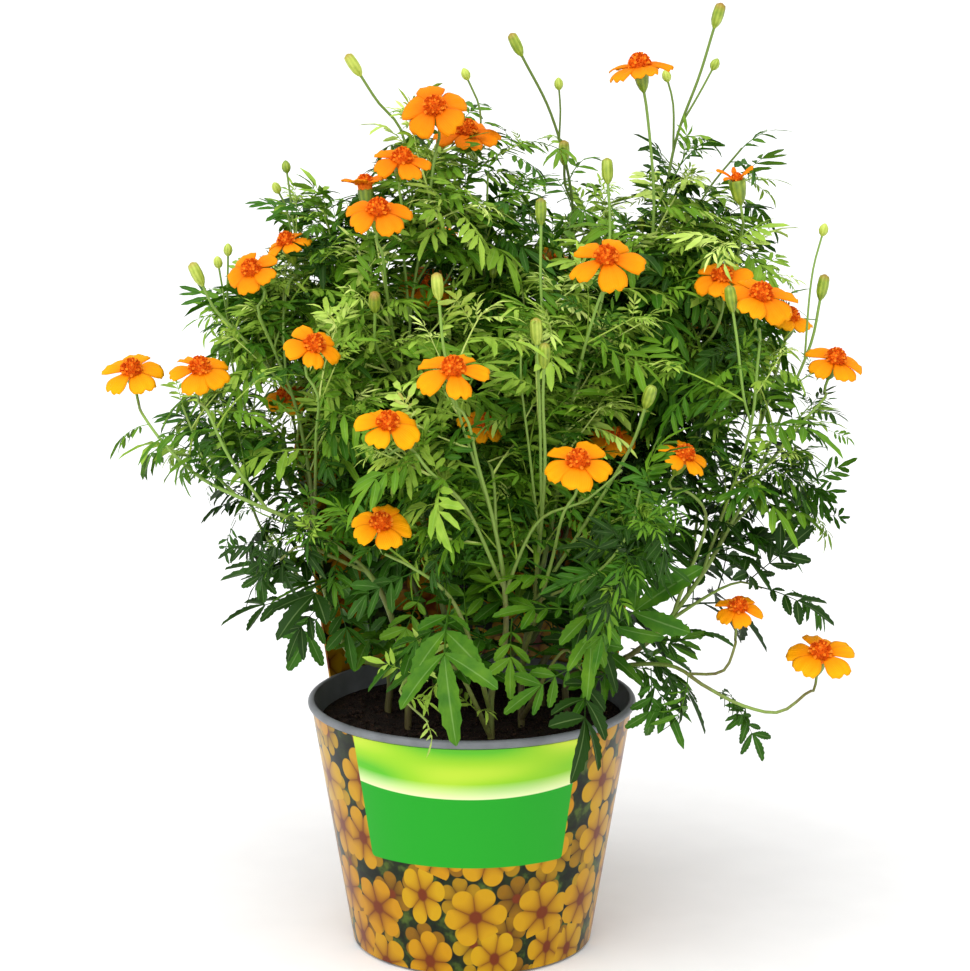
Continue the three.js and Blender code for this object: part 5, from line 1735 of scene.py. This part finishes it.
def grow_single(growth, start, tip, kind, tone, draws):
    """Grows a leaf from one surveyed place to another."""
    start, tip = surveyed(*start), surveyed(*tip)
    size = np.linalg.norm(tip - start) / LEAF_KINDS[kind]["length"]
    matrix = laid(unit(tip - start), TOWARDS_VIEWER, size, start)
    growth.add("single", leaf_kinds[kind], matrix, tone, draws)


print(sum(map(len, SINGLE_LEAVES.values())), "single leaves")


# %% Leaves
def grow_place(growth, shoot, course, leaf, is_packed, draws, fill):
    """Grows all that stands at one leaf's place."""
    solid_place = course.on_solid(leaf.share)
    heading = course.heading(1 if leaf.opening == TIP_OPENING else leaf.share)
    stand = (course.smooth(leaf.share), heading)
    kind = kind_at(shoot, solid_place[2])
    tone = age_with_painted_shade_at(shoot, kind, stand[0], draws)
    turns = (0, 180)
    if is_packed and leaf.number % BUILT_EVERY == 0:
        if grow_packed(growth, course, leaf, stand, kind, tone, draws):
            turns = (180,)
    if shoot.low and not shoot.leaves:
        return
    share_grown = growth_at(stand[0])
    grow_pair(growth, shoot, leaf, stand, kind, tone, share_grown, turns, draws)
    if stand[0][2] < TWIG_FOOT_HEIGHT or shoot.low:
        return
    grow_twigs(growth, leaf, stand, tone, share_grown, draws)
    if share_grown == 1:
        grow_backing(growth, leaf, stand, tone, fill)


def grow_stem(name, packed_draws, own_draws, draws):
    """All leaves and twigs of one stem in one piece."""
    growth = Growth()
    fill = random.Random(name)
    packed_count = len(STEMS[name][1])
    for number, (shoot, course) in enumerate(zip(shoots_of[name], courses[name])):
        is_packed = number < packed_count
        for leaf in leaf_places(shoot, course, packed_draws if is_packed else own_draws):
            grow_place(growth, shoot, course, leaf, is_packed, draws, fill)
    for single in SINGLE_LEAVES.get(name, ()):
        grow_single(growth, *single, draws)
    leaves = joined(name.replace("leafy_stem", "leaves"), growth.copies)
    print(name, growth.counts, len(leaves.data.polygons), "faces")
    return leaves


all_draws = (seeded_draws(7), seeded_draws(9), random.Random(11))
foliage = {name: grow_stem(name, *all_draws) for name in STEMS}
for prototypes in (*leaf_kinds.values(), *twig_kinds.values()):
    discard(*prototypes)

# %% [markdown]
# Leaf green is darkest on old leaves and under painted shade. The midrib is paler, and the blade
# between the side veins is slightly puffed. Both are drawn from the leaflet's own UV map, whose
# middle line is the midrib. The stems' green turns to brown at the foot, and painted shade makes
# it darker at the back of the plant.

# %% Leaf and stem finish
def read_tint(tree):
    """The numbers that tinted copies carry: tone, which is age with any painted shade, draw, and two of the
    piece's own.
    """
    tint = node(tree, "Attribute", {}, attribute_name="tint", attribute_type="GEOMETRY").outputs
    return (*node(tree, "SeparateColor", {0: tint["Color"]}).outputs, tint["Alpha"])


def on_sheet(tree):
    """The place across and along the flat sheet that a piece was shaped from."""
    across, along, _ = node(tree, "SeparateXYZ", {0: node(tree, "TexCoord", {}).outputs["UV"]}).outputs
    return across, along


green, tree, shader = new_material("leaf_green", Roughness=0.55, Specular_IOR_Level=0.16)
maths = partial(calculated, tree)
tone, chance, _, _ = read_tint(tree)
flat_u, flat_v = on_sheet(tree)
across = maths("ABSOLUTE", maths("MULTIPLY_ADD", flat_u, 2, -1))
shade = swayed(tree, swayed(tree, tone, chance, 0.3), mottled(tree, 7), 0.4)
greens = ((0.05, "#1b3a04"), (0.28, "#34660b"), (0.52, "#628e19"), (0.78, "#a2c248"), (1, "#cfe37c"))
midrib = maths("MULTIPLY_ADD", across, -9, 1, clamp=True)
veined = mixed(tree, maths("MULTIPLY", midrib, 0.2), graded(tree, shade, *greens), linear("#b4d486"))
feed(tree, shader, veined)
slant = maths("MULTIPLY_ADD", across, -0.35, flat_v)
veins = maths("SINE", maths("MULTIPLY", slant, 44))
bump(tree, shader, maths("MULTIPLY_ADD", midrib, -1.5, veins), 0.15, 0.2)

bark, tree, shader = new_material("stem_green", Roughness=0.5, Specular_IOR_Level=0.4)
maths = partial(calculated, tree)
place = node(tree, "TexCoord", {}).outputs["Object"]
_, behind, height = node(tree, "SeparateXYZ", {0: place}).outputs
stretched = node(tree, "Mapping", {"Vector": place, "Scale": (900, 900, 120)}).outputs[0]
streaks = node(tree, "TexNoise", {"Vector": stretched, "Scale": 1}).outputs["Fac"]
ripe = maths("MULTIPLY_ADD", height, -3.6, maths("MULTIPLY_ADD", mottled(tree, 40), 1, 0.6))
ripe = maths("MULTIPLY_ADD", streaks, 0.3, ripe)
# painted shade: the stems darken towards the back of the plant
shaded = maths("MULTIPLY_ADD", behind, 12, 0.3, clamp=True)
stem_colour = graded(tree, ripe, (0.4, "#86aa48"), (0.7, "#819c44"), (0.9, "#6f7038"), (1, "#5f5432"))
stem_colour = mixed(tree, maths("MULTIPLY", shaded, 0.75), stem_colour, linear("#4c5a1e"))
feed(tree, shader, stem_colour)
bump(tree, shader, streaks, 0.3, 0.2)

for name in STEMS:
    dress(woods[name], bark)
    dress(foliage[name], green)
    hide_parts(name)
    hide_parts(name)
print("leaf and stem finish on", 2 * len(STEMS), "pieces")

# %% [markdown]
# ## Calyxes and buds
#
# Under each flower the green bracts are grown together into a ribbed cup, the calyx. A bud is
# the same cup while it is still closed. Each is one cylinder of sixteen sides, extruded ring by
# ring, with every other corner drawn in to make the ribs.

# %% Calyxes and buds
CALYX_RINGS = ((0.8, 0.2), (1.5, 1.2), (2.2, 3), (2.6, 5.4), (2.75, 7.6), (2.5, 8.1), (1.6, 7.4))
BUD_RINGS = ((0.7, 0.2), (1.3, 1), (1.95, 2.6), (2.15, 5), (2.0, 7.6), (1.7, 8.6), (1.1, 8.9), (0.5, 9.3))
SMALL_BUD_RINGS = ((0.6, 0.1), (1.3, 0.7), (1.75, 1.9), (1.55, 3.2), (0.8, 4.2), (0.25, 4.6))
CUP_SIDES = 16
RIB_DEPTH = 0.1
WITHERED_ABOVE = 40  # a flower whose petals stand up more steeply is over, and they are shreds
WITHERED_SWELLS = 1.15  # its calyx, beside the others


def build_cup(name, rings):
    """A ribbed cup that stands on the origin, extruded through rings of radius and height."""
    radius, z = rings[0]
    cup = cylinder(name, CUP_SIDES, radius, 0, z)
    extrude_rings(cup, rings)
    tint = cup.data.color_attributes.new(name="tint", type="FLOAT_COLOR", domain="POINT")
    for vertex in cup.data.vertices:
        turn = math.atan2(vertex.co.x, vertex.co.y)
        is_groove = round(turn / math.tau * CUP_SIDES) % 2
        tint.data[vertex.index].color = (0, 0, vertex.co.z / MM / 10, is_groove)
        if is_groove:
            vertex.co.xy *= 1 - RIB_DEPTH
    pick(cup)
    bpy.ops.object.shade_smooth()
    return cup


def standing(axis, spin, place, size=1):
    """Turns +Z onto an axis after a spin about it, and moves the foot to a place."""
    lean = Vector((0, 0, 1)).rotation_difference(Vector(axis)).to_matrix().to_4x4()
    return Matrix.Translation(place) @ lean @ turned(spin, "Z") @ Matrix.Diagonal((size, size, size, 1))


cups = {
    "calyx": build_cup("calyx", CALYX_RINGS),
    "bud": build_cup("bud", BUD_RINGS),
    "small bud": build_cup("small_bud", SMALL_BUD_RINGS),
}
cup_draws = random.Random(3)
buds = {}
for name, shoots in shoots_of.items():
    copies = []
    for shoot, course in zip(shoots, courses[name]):
        tip = shoot.tip
        if tip == "leaf":
            continue
        kind, axis, ages, size = tip, course.heading(1), (0.3, 0.75), 1
        if tip in BLOOMS:
            kind, axis, ages = "calyx", flower_axis(BLOOMS[tip].lean), (0.1, 0.5)
            size = WITHERED_SWELLS if BLOOMS[tip].cup > WITHERED_ABOVE else 1
        matrix = standing(axis, cup_draws.uniform(0, 360), course.at(1), size)
        tone = cup_draws.uniform(*ages)
        copies.append(tinted(stamp(cups[kind], matrix), tone, cup_draws.random()))
    buds[name] = joined(name.replace("leafy_stem", "buds"), copies)
discard(*cups.values())
print("calyxes and buds on", len(buds), "stems")

# %% [markdown]
# The cups are a paler green than the leaves, with painted shade in the grooves. Some buds show
# the orange of the petals at the tip.

# %% Bud finish
ribbed, tree, shader = new_material("bud_green", Roughness=0.42, Specular_IOR_Level=0.45)
maths = partial(calculated, tree)
tone, chance, bud_height, groove = read_tint(tree)
fine = mottled(tree, 0.8)
shade = maths("ADD", swayed(tree, tone, mottled(tree, 3), 0.7), 0.15)
# painted shade in the grooves between the ribs
shade = maths("MULTIPLY_ADD", groove, -0.25, shade)
bud_colour = graded(tree, shade, (0.1, "#4f6e18"), (0.45, "#8fa62e"), (0.8, "#c4d35a"))
showing = maths("MULTIPLY_ADD", chance, 0.9, -2.9)
ripe_tip = maths("MULTIPLY_ADD", bud_height, 3.2, showing, clamp=True)
bud_colour = mixed(tree, maths("MULTIPLY", ripe_tip, 0.8), bud_colour, linear("#a05a18"))
feed(tree, shader, bud_colour)
bump(tree, shader, fine, 0.3, 0.2)
for name, piece in buds.items():
    dress(piece, ribbed)
    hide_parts(name)
print("bud finish on", len(buds), "pieces")

# %% [markdown]
# ## Flowers
#
# Five broad petals stand round a dome of small tubular florets. A petal is a thin sheet with
# grooves along it, a narrow claw and a wavy, slightly notched tip. Solidify gives it its
# thickness after the five copies are set in place, each a little different. Flowers that face
# the viewer stand a few degrees more upright than their solids, as those in the photo do.

# %% Petals
HUB = 1.9  # radius at which the petals grow
PETALS = 5
PETAL_REACH = 12
PETAL_WIDTH = 0.92  # of the reach
PETAL_FULLNESS = (0.8, 1)  # how wide a flower's petals are beside the widest
UPRIGHT = 6  # degrees that the fine flowers stand more upright than their solids
UPRIGHT_FROM = 20  # where they lean more than this towards the viewer
WITHERED_WIDTH = 0.25
PETAL_VARIANTS = 5
PETAL_THICKNESS = 0.35


def build_petal(variant):
    """One petal along +Y from the hub, with its upper side up."""
    draws = random.Random(f"petal {variant}")
    length = PETAL_REACH - HUB
    wave, notch, fall = draws.uniform(0.3, 0.9), draws.uniform(0.03, 0.1), draws.uniform(0.05, 0.22)
    side = draws.choice((-1, 1))
    skew = draws.uniform(-0.1, 0.1)

    def shape(u, v):
        aside = 2 * u - 1
        widening = 0.3 + 0.7 * smoothstep(v, -0.1, 0.66)
        half = PETAL_REACH * PETAL_WIDTH / 2 * widening * (1 - 0.14 * smoothstep(v, 0.75, 1))
        notched = notch * math.exp(-((aside * 4) ** 2)) * v**6
        tip = 1 - 0.16 * aside * aside * v**2 + skew * aside * v - notched
        groove = 0.2 * math.cos(3 * math.pi * aside) * smoothstep(v, 0, 0.3)
        droop = -fall * PETAL_REACH * v**1.7 - 0.7 * aside * aside * v
        ripple = wave * math.sin(math.pi * (2.2 * aside * side + 0.4)) * v**3
        arch = 0.6 * math.sin(math.pi * v)
        return aside * half, HUB + length * v * tip, groove + droop + ripple + arch

    return sheet_piece(f"petal_{variant}", 8, 8, shape)


def fine_axis(lean):
    """The axis of a finished flower. One that faces the viewer stands a little more upright."""
    aside, nearer = lean
    return flower_axis((aside, nearer - UPRIGHT if nearer > UPRIGHT_FROM else nearer))


petals = [build_petal(variant) for variant in range(PETAL_VARIANTS)]
petal_draws = random.Random(21)
draw = petal_draws.uniform
to_hub = Matrix.Translation((0, HUB, 0))
corollas = {}
for name, bloom in BLOOMS.items():
    fullness = random.Random(name).uniform(*PETAL_FULLNESS)
    place = surveyed(*bloom.at)
    base = standing(fine_axis(bloom.lean), bloom.turn, place, bloom.reach / PETAL_REACH)
    copies = []
    for i in range(PETALS):
        spin = turned(360 / PETALS * i + 180 + draw(-6, 6), "Z")
        pitch = to_hub @ turned(bloom.cup + draw(-9, 7), "X") @ to_hub.inverted()
        roll = turned(draw(-9, 9), "Y")
        narrow = fullness * math.cos(math.radians(bloom.cup / 2)) * draw(0.84, 1.04)
        if bloom.cup > WITHERED_ABOVE:
            narrow *= WITHERED_WIDTH
            petal_draws.random()  # passes over a draw, which keeps the later ones as they are
        size = Matrix.Diagonal((narrow, draw(0.94, 1.04), 1, 1))
        copies.append(stamp(petal_draws.choice(petals), base @ spin @ pitch @ roll @ size))
    deepness = 0.15 + 0.6 * smoothstep(place[2], 200, 300) + draw(-0.15, 0.2)
    for copy in copies:
        tinted(copy, max(0, deepness + bloom.cup / 60 + draw(-0.08, 0.08)), petal_draws.random())
    corolla = joined(name + "_petals", copies)
    apply_modifier(corolla, "SOLIDIFY", thickness=PETAL_THICKNESS * MM, offset=0)
    corollas[name] = corolla
discard(*petals)
print("petals:", sum(len(piece.data.polygons) for piece in corollas.values()), "faces")

# %% [markdown]
# The middle of the flower is a knobbly dome of small florets, each a little tube that flares open
# at its tip. One tube is made from a cone, hollowed at the tip, and copied over the dome at the
# golden angle, as they grow in the flower.

# %% Florets
FLORETS = 64
FLORET_TURN = 137.508  # the golden angle, finer than a stem needs it
DOME = (3.1, 4.4)  # half its width, and its height
DOME_END = 88  # degrees from its top down to the lowest florets
WITHERED_DISC = 0.55


def build_disc():
    """A dome of florets that stands on the origin."""
    floret = started(
        "floret",
        bpy.ops.mesh.primitive_cone_add,
        vertices=6,
        radius1=0.25 * MM,
        radius2=0.52 * MM,
        depth=2 * MM,
        location=(0, 0, 0.5 * MM),
    )
    with editing(floret, "polygons", faces_up):
        bpy.ops.mesh.inset(thickness=0.16 * MM)
        bpy.ops.transform.translate(value=(0, 0, -0.5 * MM))
    core = started("core", bpy.ops.mesh.primitive_uv_sphere_add, segments=16, ring_count=8, radius=1 * MM)
    scale_part(core, lambda at: True, (DOME[0], DOME[0], DOME[1]))
    draws = random.Random(8)
    copies = [tinted(core, 0.1, 0.5)]
    for i in range(FLORETS):
        share = (i + 0.5) / FLORETS
        polar = math.radians(DOME_END) * share**0.55
        turn = math.radians(FLORET_TURN * i)
        out = math.sin(polar)
        x, y, z = out * math.cos(turn), out * math.sin(turn), math.cos(polar)
        at = Vector((x * DOME[0], y * DOME[0], z * DOME[1] + 0.4)) * 0.86
        tilted = Vector((x + draws.uniform(-0.2, 0.2), y + draws.uniform(-0.2, 0.2), z + 0.25)).normalized()
        size = 0.75 + 0.35 * share + draws.uniform(-0.1, 0.1)
        copy = stamp(floret, standing(tilted, 60 * draws.random(), at, size))
        copies.append(tinted(copy, share, draws.random()))
    discard(floret)
    return joined("disc", copies)


disc = build_disc()
disc_draws = random.Random(13)
discs = {}
for name, bloom in BLOOMS.items():
    size = 0.5 + 0.5 * bloom.reach / PETAL_REACH
    if bloom.cup > WITHERED_ABOVE:
        size = WITHERED_DISC
    matrix = standing(fine_axis(bloom.lean), disc_draws.uniform(0, 360), surveyed(*bloom.at), size)
    discs[name] = joined(name + "_disc", [stamp(disc, matrix)])
    smooth(discs[name], 50)
discard(disc)
print("discs:", len(discs), "of", len(discs["bloom_01"].data.polygons), "faces")

# %% [markdown]
# Petals are a saturated orange that pales to the tip, with fine lines along them, and deeper in
# the upper flowers. The florets are a redder orange, each a little different.

# %% Petal and floret finish
orange, tree, shader = new_material("petal_orange", Roughness=0.65, Specular_IOR_Level=0.1)
maths = partial(calculated, tree)
deepness, _, _, _ = read_tint(tree)
flat_u, flat_v = on_sheet(tree)
lines = maths("SINE", maths("MULTIPLY", flat_u, 88))
outwards = maths("MULTIPLY_ADD", lines, 0.04, swayed(tree, flat_v, mottled(tree, 4), 0.4))
petal_colour = graded(tree, outwards, (0.02, "#dc6200"), (0.25, "#ee8c00"), (0.7, "#f4a000"), (1, "#f8ae06"))
deep_colour = graded(tree, outwards, (0.02, "#cc4c00"), (0.3, "#e26a00"), (0.8, "#f07e02"), (1, "#f48c08"))
feed(tree, shader, mixed(tree, maths("MINIMUM", deepness, 1), petal_colour, deep_colour))
bump(tree, shader, lines, 0.25, 0.15)

floret_orange, tree, shader = new_material("floret_orange", Roughness=0.7, Specular_IOR_Level=0.15)
maths = partial(calculated, tree)
_, chance, _, _ = read_tint(tree)
fine = mottled(tree, 0.8)
glow = maths("MULTIPLY_ADD", chance, 0.5, maths("MULTIPLY", fine, 0.5))
feed(tree, shader, graded(tree, glow, (0.25, "#c84a02"), (0.5, "#ec7006"), (0.75, "#fba82e")))
bump(tree, shader, fine, 0.4, 0.2)

for name in BLOOMS:
    dress(corollas[name], orange)
    dress(discs[name], floret_orange)
    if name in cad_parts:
        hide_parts(name)
        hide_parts(name)
    else:
        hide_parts(name + "_petals")
        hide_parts(name + "_disc")
print("flowers finished")

# %% [markdown]
# ## Floor and light
#
# The plant stands on a plain pale floor that runs back past the horizon of the picture. A white
# world gives the even light of a photo studio, and one soft lamp from the upper left gives the
# leaves their form.

# %% Floor and light
bpy.ops.mesh.primitive_plane_add(size=80, location=(0, 20, 0))
floor = bpy.context.active_object
floor.name = "floor"
pale, tree, shader = new_material("pale_floor", Roughness=0.9)
speckle = node(tree, "TexNoise", {"Vector": node(tree, "TexCoord", {}).outputs["Object"], "Scale": 40})
feed(tree, shader, graded(tree, speckle.outputs["Fac"], (0.3, "#f4f4f4"), (0.7, "#f7f7f7")))
floor.data.materials.append(pale)

world = bpy.data.worlds.new("studio")
bpy.context.scene.world = world
world.use_nodes = True
background = world.node_tree.nodes["Background"]
background.inputs["Color"].default_value = (1, 1, 1, 1)
background.inputs["Strength"].default_value = 0.78

sun = bpy.data.objects.new("key", bpy.data.lights.new("key", "SUN"))
sun.data.energy = 2.5
sun.data.angle = math.radians(80)
sun.rotation_euler = (math.radians(36), math.radians(-8), math.radians(-8))
bpy.context.collection.objects.link(sun)
bpy.context.scene.view_settings.view_transform = "Standard"
